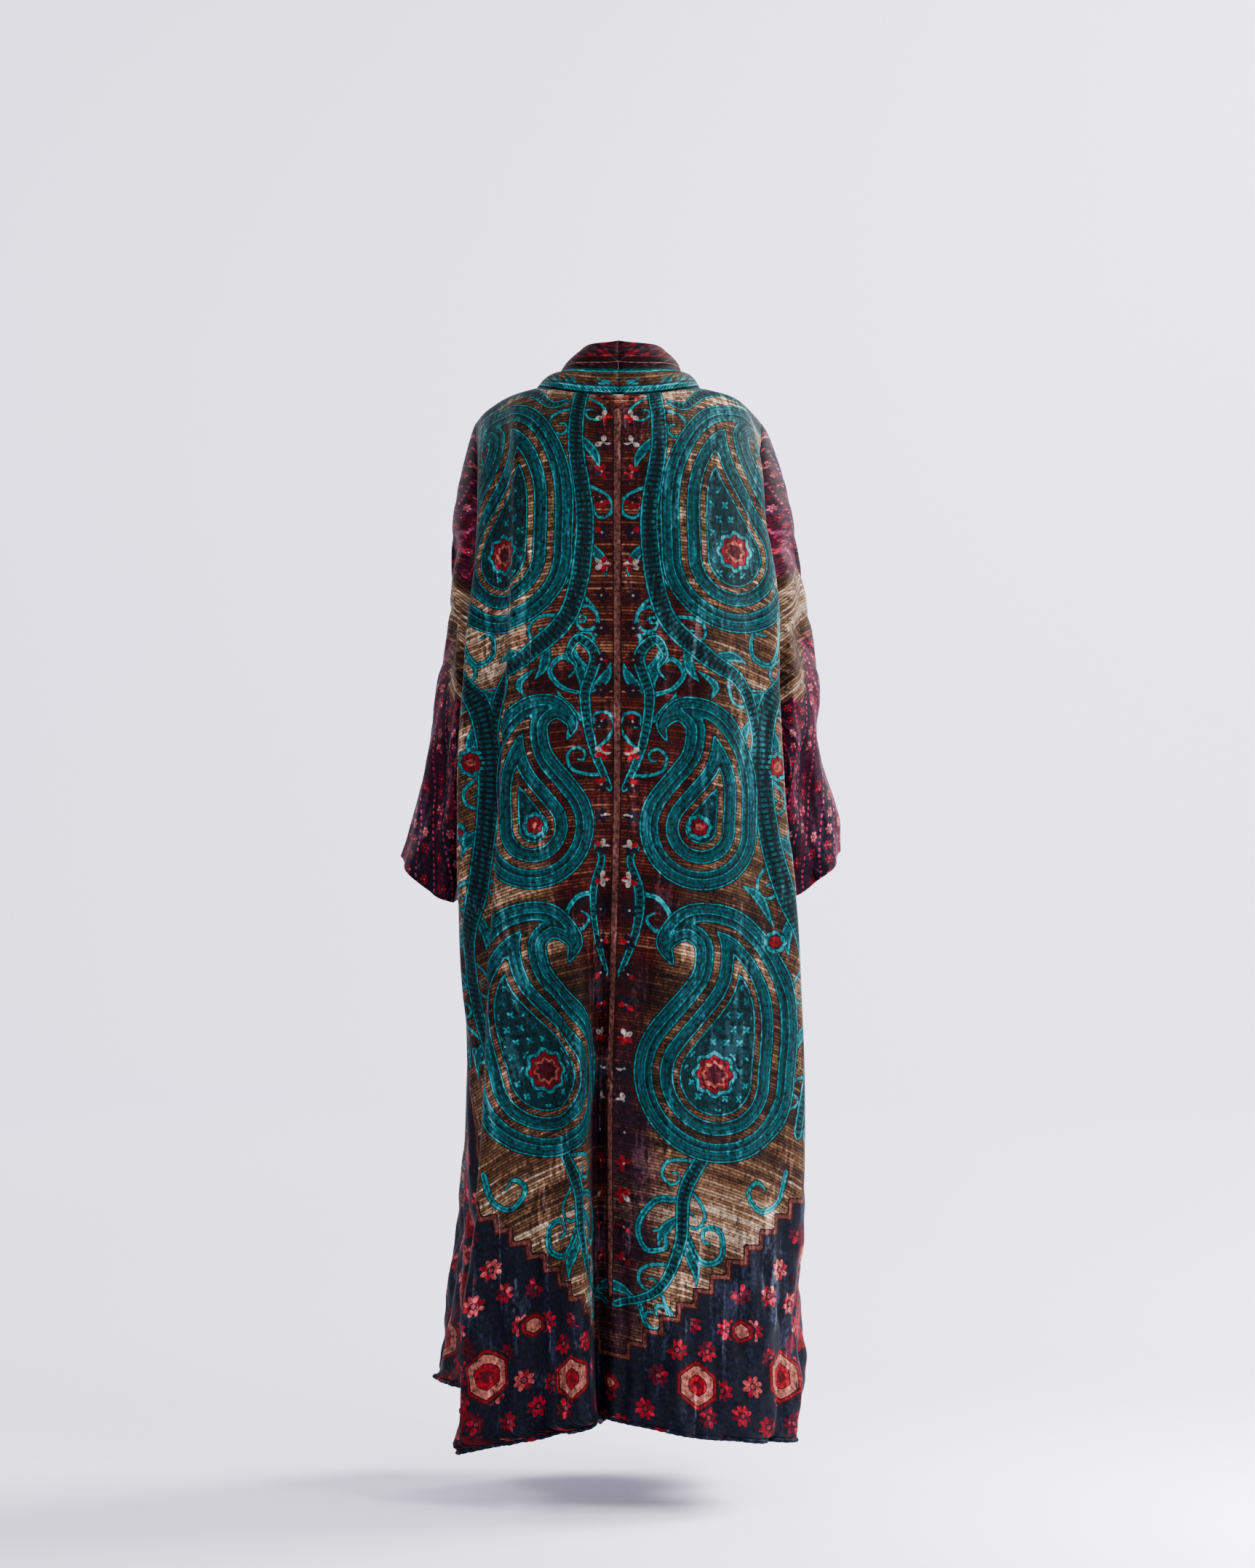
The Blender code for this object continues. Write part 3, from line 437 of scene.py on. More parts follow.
def panel(controls, counts, hem, arm_sides, top):
    """A panel from the shoulder to the hem, through its control points at each height.

    arm_sides says which of its edges lie on the armhole seam: the column, the sign of its x and the
    side of the armhole.
    The rows of its yoke leave the shoulder level and turn down to the shoulder blades.
    """
    segment, part = columns_of(counts)
    z = panel_heights(smooth_between(segment + part, range(len(hem)), hem))
    points = controls(z)
    edges = {}
    for last, sign, side in arm_sides:
        edges[last] = armhole_edge(armhole_angles(), side) * (sign, 1, 1)
        points[: ARMHOLE_ROWS - YOKE_ROWS + 1, :, last] = edges[last][YOKE_ROWS:, None, :2]
    places = spline_through(points, np.broadcast_to(segment, z.shape), np.broadcast_to(part, z.shape))
    body = np.concatenate([places, z[..., None]], axis=-1)
    angle = np.linspace(0, math.pi / 2, YOKE_ROWS + 1)[:, None, None]
    share = np.concatenate([np.sin(angle), np.sin(angle), 1 - np.cos(angle)], axis=-1)
    yoke = top[None] + (body[0] - top)[None] * share
    for last, edge in edges.items():
        yoke[:, last] = edge[: YOKE_ROWS + 1]
    return np.concatenate([yoke[:-1], body])


def back_grid():
    """The outer face of the back, from its left seam to its right one, and from the neck down."""

    def controls(z):
        """The outline's points at each height, from seam to seam."""
        left = section_points(BACK_LEFT, ("seam", "wing", "tuck", "edge", "mid", "ridge", "dip"), z)
        left[..., 0] *= -1
        middle_y = smooth_between(z, column(BACK_RIGHT, "z"), MIDDLE_BACK_Y)
        middle_x = -MIDDLE_LEAN * eased((MIDDLE_LEAN_START - z) / (MIDDLE_LEAN_START - MIDDLE_LEAN_FULL))
        middle = np.stack([middle_x, middle_y], axis=-1)[..., None, :]
        right = section_points(BACK_RIGHT, ("mid", "edge", "tuck", "wing", "seam"), z)
        return np.concatenate([left, middle, right], axis=-2)

    shoulder = shoulder_line(np.linspace(0, 1, sum(FRONT_COLUMNS) + 1))
    half = np.concatenate([neckline(np.linspace(0, 1, BAND_NECK_COLUMNS + 1)), shoulder[1:]])
    top = np.concatenate([half[:0:-1] * (-1, 1, 1), half])
    grid = panel(controls, BACK_COLUMNS, BACK_HEM, ((0, -1, -1), (-1, 1, -1)), top)
    return lifted(grid, BACK_FOLDS)


def lifted(grid, folds):
    """The panel with its folds standing out, quiet beside its edges and where it turns to the side."""
    across = np.linspace(0, 1, grid.shape[1])[None]
    edge_quiet = np.clip(np.minimum(across, 1 - across) / FLAT_EDGE_SHARE, 0, 1)
    outward = outward_of(grid)
    facing = np.clip(np.abs(outward[..., 1]) / FACING_FOR_FULL_FOLD, 0, 1)
    in_yoke = np.arange(len(grid))[:, None] < YOKE_ROWS
    quiet = edge_quiet * np.where(in_yoke, 1, facing)
    return grid + outward * fold_heights(folds, grid[..., 0], grid[..., 2], quiet)[..., None]


def front_grid(table):
    """The outer face of a right-hand front, from its side seam to the edge of the opening."""

    def controls(z):
        """The outline's points at each height, from the seam to the opening."""
        return section_points(table, ("seam", "side", "quarter", "edge"), z)

    top = shoulder_line(np.linspace(1, 0, sum(FRONT_COLUMNS) + 1))
    grid = panel(controls, FRONT_COLUMNS, FRONT_HEM, ((0, 1, 1),), top)
    return lifted(grid, FRONT_FOLDS)


def sleeve_grid(table):
    """The outer face of a right-hand sleeve: closed rings from the armhole to the cuff."""
    step = np.linspace(0, 1, SLEEVE_ROWS + 1)
    ring = SleeveRing(*(values[:, None] for values in read_along(step, table)))
    angle = np.concatenate([armhole_angles(), 2 * math.pi - armhole_angles()[-2:0:-1]])[None]
    x = (ring.out_x + ring.in_x) / 2 + (ring.out_x - ring.in_x) / 2 * np.cos(angle)
    y = ring.middle_y + ring.half_depth * np.sin(angle)
    z = (ring.out_z + ring.in_z) / 2 + (ring.out_z - ring.in_z) / 2 * np.cos(angle)
    z = z - ring.sag * np.sin(angle) ** 2
    grid = np.stack([x, y, z], axis=-1)
    outward = outward_of(grid, closed=True)
    height = np.zeros_like(x)
    turn = np.degrees(angle)
    for fold in SLEEVE_FOLDS:
        share = (step[:, None] - fold.top_step) / (fold.low_step - fold.top_step)
        line = fold.top_angle + (fold.low_angle - fold.top_angle) * np.clip(share, 0, 1)
        depth = fold.top_depth + (fold.low_depth - fold.top_depth) * np.clip(share, 0, 1)
        away = (turn - line + 180) % 360 - 180
        height += depth * eased(share / SLEEVE_FOLD_START) * np.exp(-((away / fold.half_angle) ** 2))
    return grid + outward * height[..., None]


def band_grid(front, at_neck):
    """The outer face of the right-hand half of the neck band, from the neck seam to its free edge.

    It starts at the middle of the back and runs down the edge of the front, which is the grid given.
    at_neck is its table for the stretch round the back of the neck.
    """
    edge = front[:, -1]
    round_neck = np.linspace(0, 1, BAND_NECK_COLUMNS + 1)[:-1]
    run = run_along(edge)
    down_front = 1 + run / run[YOKE_ROWS] / 2
    station = BandStation(*read_along(np.concatenate([round_neck, down_front]), at_neck + BAND_FRONT))
    path = np.concatenate([neckline(round_neck), edge])
    width = np.stack([station.across_x, station.across_y, station.across_z], axis=-1)
    share = np.linspace(0, 1, BAND_ACROSS + 1)
    grid = path[:, None] + width[:, None] * share[None, :, None]
    outward = outward_of(grid)
    outward[0, :, 0] = 0
    wave = np.abs(np.sin(2 * math.pi * share))
    lower = np.where(share < 0.5, wave, 0)
    upper = np.where(share > 0.5, wave, 0) - np.exp(-(((share - 0.5) / CREASE_HALF_WIDTH) ** 2))
    bulge = station.roll[:, None] * lower + station.crease[:, None] * upper
    return grid + outward * bulge[..., None]


# One edge of a piece of cloth: its rows of points from the edge inwards, the way from each point of
# the edge into the piece, and the way the cloth faces there
Edge = namedtuple("Edge", "rows inward outward")


def edge_of(rows, outward_rows):
    """The first row of a piece as its edge."""
    return Edge(rows, unit(rows[2] - rows[0]), outward_rows[0])


def across(grid):
    """The same points with columns first, so that its first row is the piece's first column."""
    return grid.transpose(1, 0, 2)


def drawn_back(inward, split):
    """How far an edge moves into its piece to stay on its own side of the plane that faces split."""
    reach = np.maximum(np.sum(inward * split, axis=-1), LEAST_SEAM_REACH)
    return inward * (SEAM_GAP / 2 / reach)[:, None]


def part_pieces(back, front, band, sleeve):
    """Opens the seams between the back and the right-hand front, band half and sleeve, in place."""
    back_out, front_out, band_out = outward_of(back), outward_of(front), outward_of(band)
    sleeve_out = outward_of(sleeve, closed=True)
    back_top = edge_of(back, back_out)
    back_side = edge_of(across(back)[::-1], across(back_out)[::-1])
    front_top = edge_of(front, front_out)
    front_side = edge_of(across(front), across(front_out))
    front_edge = edge_of(across(front)[::-1], across(front_out)[::-1])
    band_seam = edge_of(across(band), across(band_out))
    band_back = edge_of(band, band_out)
    ring = edge_of(sleeve, sleeve_out)
    other_band = Edge(*(mirrored(field) for field in band_back))

    middle = back.shape[1] // 2
    neck = np.arange(BAND_NECK_COLUMNS + 1)
    shoulder = np.arange(middle + BAND_NECK_COLUMNS, back.shape[1])
    arm = np.arange(ARMHOLE_ROWS + 1)
    skirt = np.arange(ARMHOLE_ROWS, len(back))
    down = np.arange(len(front))
    seams = (
        (back_top, shoulder, front_top, np.arange(front.shape[1])[::-1]),
        (back_side, skirt, front_side, skirt),
        (back_top, middle + neck, band_seam, neck),
        (front_edge, down, band_seam, BAND_NECK_COLUMNS + down),
        (front_side, arm, ring, arm),
        (back_side, arm, ring, -arm % sleeve.shape[1]),
        (band_back, np.arange(band.shape[1]), other_band, np.arange(band.shape[1])),
    )
    moves = []
    for one, one_order, other, other_order in seams:
        split = unit(one.inward[one_order] - other.inward[other_order])
        dip = unit(one.outward[one_order] + other.outward[other_order]) * SEAM_DIP
        moves.append((one, one_order, drawn_back(one.inward[one_order], split) - dip))
        moves.append((other, other_order, drawn_back(other.inward[other_order], -split) - dip))
    for edge, order, move in moves:
        for row in range(SEAM_EASE_ROWS):
            edge.rows[row][order] += move * (1 - row / SEAM_EASE_ROWS) ** 2


def mirrored(grid):
    """The same piece for the other side of the body."""
    other = grid.copy()
    other[..., 0] *= -1
    return other


def relaxed(grid, rounds, closed=False):
    """The grid with small kinks smoothed out. Its edges stay where they are."""
    inner = slice(None) if closed else slice(1, -1)
    for _ in range(rounds):
        beside = np.roll(grid, 1, axis=1) + np.roll(grid, -1, axis=1)
        grid[1:-1, inner] = (grid[:-2, inner] + grid[2:, inner] + beside[1:-1, inner]) / 4
    return grid


def spaced_evenly(grid, middle):
    """The grid with its columns evenly apart on each side of the middle one, more so further down."""
    for row in range(YOKE_ROWS, len(grid)):
        share = eased((row - YOKE_ROWS) / (ARMHOLE_ROWS - YOKE_ROWS))
        for half in (slice(0, middle + 1), slice(middle, None)):
            run = run_along(grid[row, half])
            at = run * (1 - share) + np.linspace(0, run[-1], len(run)) * share
            grid[row, half] = curve_at(at, run, grid[row, half])
    return grid


# A crease field of the cloth: how wide and long its waves are, how high, where down the cloth they
# start and are full, and a number that sets its waves apart from those of other fields
Crease = namedtuple("Crease", "width length height start full seed")

BODY_CREASES = (
    Crease(0.046, 0.380, 0.0034, -0.02, -0.30, 3.0),
    Crease(0.019, 0.120, 0.0011, 0.00, -0.30, 11.0),
    Crease(0.028, 0.140, 0.0062, -0.95, -1.36, 23.0),
    Crease(0.013, 0.036, 0.0028, -1.02, -1.34, 31.0),
)
SLEEVE_CREASES = (
    Crease(0.060, 0.150, 0.0040, 0.00, -0.20, 41.0),
    Crease(0.024, 0.080, 0.0022, 0.00, -0.25, 47.0),
    Crease(0.011, 0.030, 0.0004, 0.00, -0.30, 53.0),
)
BAND_CREASES = (Crease(0.030, 0.060, 0.0010, 0.10, 0.00, 61.0),)


# A long fold of the back: how far it is from the middle, half its width, how high it stands, and where
# down the cloth it starts and is full. A fold with a height below 0 is a valley.
LongFold = namedtuple("LongFold", "across half_width height start full")

LONG_FOLDS = rows_of(
    LongFold,
    (-54, 19, 17, -550, -1100),
    (-21, 12, -33, -550, -1100),
    (85, 16, 4, -500, -900),
    (150, 20, -5, -900, -1300),
    (205, 16, 5, -850, -1250),
    (246, 12, -5, -950, -1300),
    (-160, 16, 5, -950, -1300),
    (60, 12, 3, -80, -250),
    (-105, 12, 3, -300, -600),
)


# The print's levels are evened over one part in this many of a piece's columns, and the way its folds
# stand out over this many columns
EVEN_SHARE = 4
FOLD_REACH = 9


def evened(values, reach):
    """The values with each one the mean of those beside it in its row, twice over."""
    weights = np.ones(2 * reach + 1) / (2 * reach + 1)
    for _ in range(2):
        wide = np.pad(values, ((0, 0), (reach, reach)), mode="reflect", reflect_type="odd")
        values = np.apply_along_axis(lambda row: np.convolve(row, weights, mode="valid"), 1, wide)
    return values


def broad_outward(grid):
    """Which way the cloth faces as a whole, without its small folds."""
    outward = outward_of(grid)
    return unit(np.stack([evened(outward[..., axis], FOLD_REACH) for axis in range(3)], axis=-1))


def folded(grid, places, folds):
    """The grid with long folds."""
    across_cloth, up_cloth = places[..., 0], places[..., 1]
    height = np.zeros(across_cloth.shape)
    for fold in folds:
        strength = eased((fold.start - up_cloth) / (fold.start - fold.full))
        height += fold.height * strength * np.exp(-(((across_cloth - fold.across) / fold.half_width) ** 2))
    return grid + broad_outward(grid) * height[..., None]


def creased(grid, places, creases, closed=False):
    """The grid with small creases, which die out at its first rows and, unless closed, at its side edges."""
    rows, columns = grid.shape[:2]
    height = np.zeros((rows, columns))
    across_cloth, up_cloth = places[:, :columns, 0], places[:, :columns, 1]
    for crease in creases:
        points = np.stack([across_cloth / crease.width, up_cloth / crease.length], axis=-1).reshape(-1, 2)
        wave = [noise.noise(Vector((x, z, crease.seed))) for x, z in points]
        strength = eased((crease.start - up_cloth) / (crease.start - crease.full))
        height += np.reshape(wave, (rows, columns)) * crease.height * 2 * strength
    from_end = np.minimum(np.arange(rows), 4 * SEAM_EASE_ROWS)
    quiet = eased(from_end / (4 * SEAM_EASE_ROWS))[:, None]
    if not closed:
        from_side = np.minimum(np.arange(columns), np.arange(columns)[::-1])
        quiet = quiet * eased(from_side / (2 * SEAM_EASE_ROWS))[None]
    outward = outward_of(grid, closed) if closed else broad_outward(grid)
    return grid + outward * (height * quiet)[..., None]


def cloth_places(grid, middle, sleeve=False):
    """Where each point lies on the flat cloth: metres from its middle column and up from the shoulder.

    The levels of a sleeve are even with its cuff.
    """
    if sleeve:
        grid = np.concatenate([grid, grid[:, :1]], axis=1)
    steps = np.linalg.norm(np.diff(grid, axis=1), axis=-1)
    along = np.concatenate([np.zeros((len(grid), 1)), np.cumsum(steps, axis=1)], axis=1)
    along = along - along[:, middle][:, None]
    drops = np.linalg.norm(np.diff(grid, axis=0), axis=-1)
    down = np.concatenate([np.zeros((1, grid.shape[1])), np.cumsum(drops, axis=0)])
    if sleeve:
        up = down[-1] - down - down[-1, middle]
    else:
        up = evened(grid[0, :, 2] - down, grid.shape[1] // EVEN_SHARE)
    return np.stack([along, up, np.zeros_like(up)], axis=-1)


# The print. It is the same on both halves of the back and mirrored on the fronts. A place on it is
# metres from its middle line and metres up, from the shoulder at 0 to the hem at -1.43. A stroke is a
# line through a few places of half the print, with its half width at its start, middle and end.
Stroke = namedtuple("Stroke", "points start middle end")

# Large drops with a curled tip, from the middle of the round end to the tip
DROPS = rows_of(
    Stroke,
    (((168, -268), (138, -170), (150, -102), (190, -80), (216, -104), (206, -128)), 108, 32, 4),
    (((116, -650), (140, -576), (128, -512), (90, -488), (62, -508), (68, -532)), 86, 25, 3),
    (((148, -990), (182, -885), (160, -806), (108, -780), (72, -808), (82, -838)), 116, 36, 4),
)
VINES = rows_of(
    Stroke,
    (((262, -80), (288, -240), (270, -400), (218, -490), (212, -600), (240, -720), (284, -820), (294, -930),
     (272, -1060)), 14, 18, 8),
    (((50, -4), (58, -110), (44, -230), (64, -350), (122, -410), (176, -446), (200, -520),
     (184, -570)), 11, 14, 6),
    (((70, -46), (98, -60), (130, -36), (168, -24), (206, -46), (244, -60), (262, -78)), 5, 14, 10),
    (((80, 20), (110, -14), (150, 0), (196, -14), (240, -10), (270, -34)), 6, 12, 8),
    (((10, -600), (34, -540), (44, -470), (30, -415), (52, -390), (66, -410), (56, -428)), 6, 9, 4),
    (((10, -860), (30, -800), (34, -745), (20, -700), (30, -680)), 5, 8, 4),
    (((136, -1090), (106, -1150), (100, -1222), (70, -1288), (8, -1320)), 11, 9, 6),
    (((322, -300), (340, -420), (318, -560), (340, -700), (322, -860), (338, -980)), 6, 8, 4),
)
LONG_VINE = 0.24
# Curled ends of their own
CURLS = rows_of(
    Stroke,
    (((104, -1196), (128, -1240), (160, -1234), (160, -1200), (136, -1194), (132, -1212),
     (144, -1216)), 5, 4.2, 2.2),
    (((102, -1160), (66, -1166), (42, -1202), (52, -1234), (80, -1228), (76, -1206),
     (62, -1208)), 5, 4.2, 2.2),
    (((42, -1308), (56, -1342), (86, -1340), (86, -1312), (68, -1310), (68, -1324)), 4.2, 3.8, 2),
    (((32, -745), (60, -750), (78, -776), (62, -796), (44, -780), (56, -770)), 3.8, 3.6, 1.8),
    (((42, -470), (74, -460), (92, -436), (76, -416), (56, -430), (66, -444)), 3.8, 4, 2),
    (((230, -300), (244, -360), (226, -412), (196, -404), (196, -374), (216, -374)), 2, 4.6, 2),
    (((250, -200), (236, -150), (240, -120)), 1.2, 6, 0.8),
    (((256, -1110), (246, -1150), (216, -1166), (196, -1144), (210, -1126), (224, -1138)), 4.4, 3.8, 2),
    (((300, -1010), (312, -1060), (300, -1110)), 1.2, 8, 0.8),
    (((228, -780), (206, -742), (176, -724)), 1.2, 8, 0.8),
    (((110, -430), (136, -452), (128, -476)), 1.2, 6, 0.8),
)
# A short vine on the sleeve, its places along and down the sleeve
SLEEVE_STROKES = rows_of(
    Stroke,
    (((330, -150), (360, -200), (345, -250), (385, -290)), 8, 12, 6),
    (((352, -190), (386, -176), (410, -198), (396, -222), (378, -210)), 5, 4.4, 2),
    (((350, -240), (316, -236), (296, -262), (314, -282), (330, -268)), 5, 4.4, 2),
    (((150, -150), (120, -200), (135, -250), (95, -290)), 8, 12, 6),
    (((128, -190), (94, -176), (70, -198), (84, -222), (102, -210)), 5, 4.4, 2),
)
# Tendrils and leaves on the vines: how far apart, and their points in shares of their length
SPRIG_SPACING = 0.038
SPRIG_LENGTH = 0.040
TENDRIL = Stroke(
    ((0.0, 0.0), (0.22, 0.50), (0.62, 0.92), (1.10, 0.86), (1.22, 0.46), (0.96, 0.26), (0.74, 0.42),
     (0.84, 0.60)), 0.0030, 0.0026, 0.0018
)
LEAF = Stroke(((0.0, 0.0), (0.40, 0.42), (0.82, 0.72), (1.30, 0.84)), 0.0016, 0.0078, 0.0006)
# A stroke has a measuring point to each of these lengths, and this many more. Depths are measured as
# far outside a stroke as its reach, and have one value beyond.
SPINE_SPACING = 0.0020
SPINE_LEAST = 8
STROKE_REACH = 0.03
DEPTH_OUTSIDE = -0.05
# Faces nearer to a line than this carry its measure, which counts the line's points on both sides of
# the nearest one
LINE_REACH = 0.012
LINE_WINDOW = 6

# Flowers in the drops and on the vines: their middle and how far their petals reach
Flower = namedtuple("Flower", "across up reach")
FLOWERS = rows_of(
    Flower,
    (168, -262, 31),
    (114, -648, 20),
    (146, -985, 34),
    (236, -560, 22),
    (262, -655, 15),
    (230, -800, 18),
)
FLOWER_PETALS = 8
FLOWER_WAVE = 0.16

# Six-sided medallions in the border: their middle and half their size
Medallion = namedtuple("Medallion", "across up half_width half_height")
# How a medallion's four slanting sides fall, as parts of up and across
MEDALLION_SLANT = (0.83, 0.56)
MEDALLIONS = rows_of(
    Medallion,
    (126, -1410, 30, 36),
    (262, -1386, 32, 40),
    (0, -1430, 16, 16),
    (190, -1330, 17, 19),
    (304, -1220, 18, 24),
)


def spine_of(stroke):
    """Points along a stroke, with the half width and the length run at each."""
    points = np.array(stroke.points)
    at = np.linspace(0, 1, SPINE_LEAST + int(run_along(points)[-1] / SPINE_SPACING))
    line = curve_at(at, np.linspace(0, 1, len(points)), points)
    return line, smooth_between(at, (0.0, 0.5, 1.0), stroke[1:]), run_along(line)


def halved(places):
    """The places folded over the middle line onto one half of the print."""
    return np.where((True, False, False), np.abs(places), places)


def near_line(spots, line, reach):
    """Which spots lie within reach of the box round a line."""
    return np.flatnonzero(np.all((spots > line.min(0) - reach) & (spots < line.max(0) + reach), axis=-1))


def sprigs_of(stroke):
    """Leaves and curled tendrils that grow in turn from the two sides of a vine."""
    line, _, run = spine_of(stroke)
    sprigs = []
    for index, place in enumerate(np.arange(SPRIG_SPACING / 2, run[-1] - SPRIG_SPACING / 2, SPRIG_SPACING)):
        at = min(int(np.searchsorted(run, place)), len(line) - 2)
        along = unit(line[at + 1] - line[at])
        aside = np.array([-along[1], along[0]]) * (1 if index % 2 else -1)
        kind = TENDRIL if index % 4 < 2 else LEAF
        points = [line[at] + (along * go + aside * out) * SPRIG_LENGTH for go, out in kind.points]
        sprigs.append(kind._replace(points=points))
    return sprigs


def stroke_depth(places, strokes):
    """How deep inside the nearest stroke each place lies."""
    spots = halved(places).reshape(-1, 3)[:, :2]
    depth = np.full(len(spots), DEPTH_OUTSIDE)
    for stroke in strokes:
        line, half_width, _ = spine_of(stroke)
        near = near_line(spots, line, half_width.max() + STROKE_REACH)
        inside = half_width[None] - np.linalg.norm(spots[near][:, None] - line[None], axis=-1)
        depth[near] = np.maximum(depth[near], inside.max(axis=1))
    return depth.reshape(places.shape[:-1])


def line_field(corners, strokes):
    """What the material needs to draw thin strokes sharply, at the corners of each face.

    It is how far a corner lies to one side of the nearest stroke's middle line, that stroke's half width
    there, and the length run along it. corners are places, one row of four for each face.
    """
    spots = halved(corners)[..., :2]
    middles = spots.mean(axis=1)
    deepest = np.full(len(middles), -LINE_REACH)
    field = np.zeros(corners.shape[:2] + (3,))
    field[..., 1] = DEPTH_OUTSIDE
    for stroke in strokes:
        line, half_width, run = spine_of(stroke)
        along = unit(np.gradient(line, axis=0))
        near = near_line(middles, line, half_width.max() + LINE_REACH)
        inside = half_width[None] - np.linalg.norm(middles[near][:, None] - line[None], axis=-1)
        place = inside.argmax(axis=1)
        inside = inside.max(axis=1)
        better = inside > deepest[near]
        chosen, place = near[better], place[better]
        deepest[chosen] = inside[better]
        window = np.clip(place[:, None] + np.arange(-LINE_WINDOW, LINE_WINDOW + 1), 0, len(line) - 1)
        reach = np.linalg.norm(spots[chosen][:, :, None] - line[window][:, None], axis=-1)
        nearest = np.take_along_axis(window, reach.argmin(axis=-1), axis=1)
        away = spots[chosen] - line[nearest]
        aside = away[..., 0] * along[nearest][..., 1] - away[..., 1] * along[nearest][..., 0]
        past = np.sum(away * along[nearest], axis=-1)
        past_end = np.where(nearest == 0, -past, np.where(nearest == len(line) - 1, past, 0))
        half = half_width[nearest] - np.maximum(past_end, 0)
        field[chosen] = np.stack([aside, half, run[nearest] + past], axis=-1)
    return field


def flower_depth(places):
    """How deep inside the nearest flower each place lies."""
    depth = np.full(places.shape[:-1], DEPTH_OUTSIDE)
    for flower in FLOWERS:
        across_flower = np.abs(places[..., 0]) - flower.across
        up_flower = places[..., 1] - flower.up
        angle = np.arctan2(up_flower, across_flower)
        reach = flower.reach * (1 - FLOWER_WAVE * (0.5 - 0.5 * np.cos(FLOWER_PETALS * angle)))
        depth = np.maximum(depth, reach - np.hypot(across_flower, up_flower))
    return depth


def medallion_depth(places):
    """How deep inside the nearest medallion each place lies."""
    depth = np.full(places.shape[:-1], DEPTH_OUTSIDE)
    for medallion in MEDALLIONS:
        across_it = np.abs(np.abs(places[..., 0]) - medallion.across)
        up_it = np.abs(places[..., 1] - medallion.up)
        slanted = (medallion.half_height - up_it) * MEDALLION_SLANT[0] - across_it * MEDALLION_SLANT[1]
        depth = np.maximum(depth, np.minimum(medallion.half_width - across_it, slanted))
    return depth


# The navy border climbs in steps from the middle of the hem to the sides
BORDER_MIDDLE = -1.388
BORDER_STEP = 0.024
BORDER_RISE = 0.92
BORDER_SIDE = 0.345


def border_depth(places):
    """How deep inside the navy border each place lies, negative above its stepped edge."""
    aside = np.abs(places[..., 0])
    depth = aside - BORDER_SIDE
    for step in range(int(BORDER_SIDE / BORDER_STEP)):
        past = aside - step * BORDER_STEP if step else np.ones_like(aside)
        under = BORDER_MIDDLE + step * BORDER_STEP * BORDER_RISE - places[..., 1]
        outside = -np.hypot(np.minimum(past, 0), np.minimum(under, 0))
        depth = np.maximum(depth, np.where((past > 0) & (under > 0), np.minimum(past, under), outside))
    return depth


# The wine red zone down the middle of the print: half its width at each height
MIDDLE_ZONE = (
    (-1.37, 0.040), (-1.20, 0.070), (-0.95, 0.050), (-0.72, 0.102), (-0.45, 0.132), (-0.22, 0.070),
    (-0.02, 0.040),
)
MIDDLE_ZONE_BLEND = 0.050
# The stem down the middle of the print
STEM_TOP = -0.050
STEM_FOOT = -1.312
STEM_HALF_WIDTH = 0.0054
STEM_FOOT_HALF_WIDTH = 0.0044
# The ground's stripes sag to the sides by this times the square of the way out
STRIPE_ARCH = 0.75
# How much lighter the ground's stripes are dyed at each height. The darker tone near the shoulders is painted
# shade against the light that falls on top.
STRIPE_TONES_AND_TOP_SHADE = (
    (-1.45, 0.00), (-1.26, 0.02), (-1.20, 0.03), (-1.05, -0.06), (-0.80, -0.06), (-0.60, 0.00), (-0.30, 0.01),
    (-0.10, -0.03), (0.05, -0.06),
)


def strokes_of_print():
    """The strokes of the body's print that are drawn as lines, by the name of their field."""
    long_vines = [vine for vine in VINES if spine_of(vine)[2][-1] > LONG_VINE]
    grown = tuple(sprig for vine in long_vines for sprig in sprigs_of(vine))
    return {"vine_line": VINES, "sprig_line": CURLS + grown}


def body_fields(places):
    """The measures of the print that the body's material needs at each place."""
    aside, up = np.abs(places[..., 0]), places[..., 1]
    half_zone = smooth_between(up, *np.array(MIDDLE_ZONE).T)
    stem_half = smooth_between(up, (STEM_FOOT, STEM_TOP), (STEM_FOOT_HALF_WIDTH, STEM_HALF_WIDTH))
    stem = np.minimum(stem_half - aside, np.minimum(STEM_TOP - up, up - STEM_FOOT))
    stripes = places.copy()
    stripes[..., 1] += STRIPE_ARCH * aside**2
    return {
        "cloth_place": places,
        "half_place": halved(places),
        "stripe_place": stripes,
        "middle_share": eased((half_zone - aside) / MIDDLE_ZONE_BLEND + 0.5),
        "stem_depth": stem,
        # The stripes' tone at each height, with painted shade near the shoulders
        "stripe_tone": smooth_between(up, *np.array(STRIPE_TONES_AND_TOP_SHADE).T),
        "drop_depth": stroke_depth(places, DROPS),
        "flower_depth": flower_depth(places),
        "border_depth": border_depth(places),
        "medallion_depth": medallion_depth(places),
    }


def face_corners(rows, columns, closed, flip):
    """The row and the column of the grid point at each corner of each face."""
    spans = columns if closed else columns - 1
    row, span = np.meshgrid(np.arange(rows - 1), np.arange(spans), indexing="ij")
    down, right = (0, 1, 1, 0), (0, 0, 1, 1)
    if flip:
        down, right = down[::-1], right[::-1]
    corner_rows = np.stack([row + step for step in down], axis=-1).reshape(-1, 4)
    corner_columns = np.stack([span + step for step in right], axis=-1).reshape(-1, 4)
    return corner_rows, corner_columns


def shown(name, points, faces, materials):
    """A smooth object in the scene."""
    mesh = bpy.data.meshes.new(name)
    mesh.from_pydata(points, [], faces)
    mesh.shade_smooth()
    for material in materials:
        mesh.materials.append(material)
    made = bpy.data.objects.new(name, mesh)
    bpy.context.scene.collection.objects.link(made)
    return made


def add_layer(made, name, values, domain):
    """Stores a number or a place for each corner or point of an object."""
    kind, part = ("FLOAT_VECTOR", "vector") if values.ndim == 3 else ("FLOAT", "value")
    layer = made.data.attributes.new(name, kind, domain)
    layer.data.foreach_set(part, values.astype(np.float32).ravel())


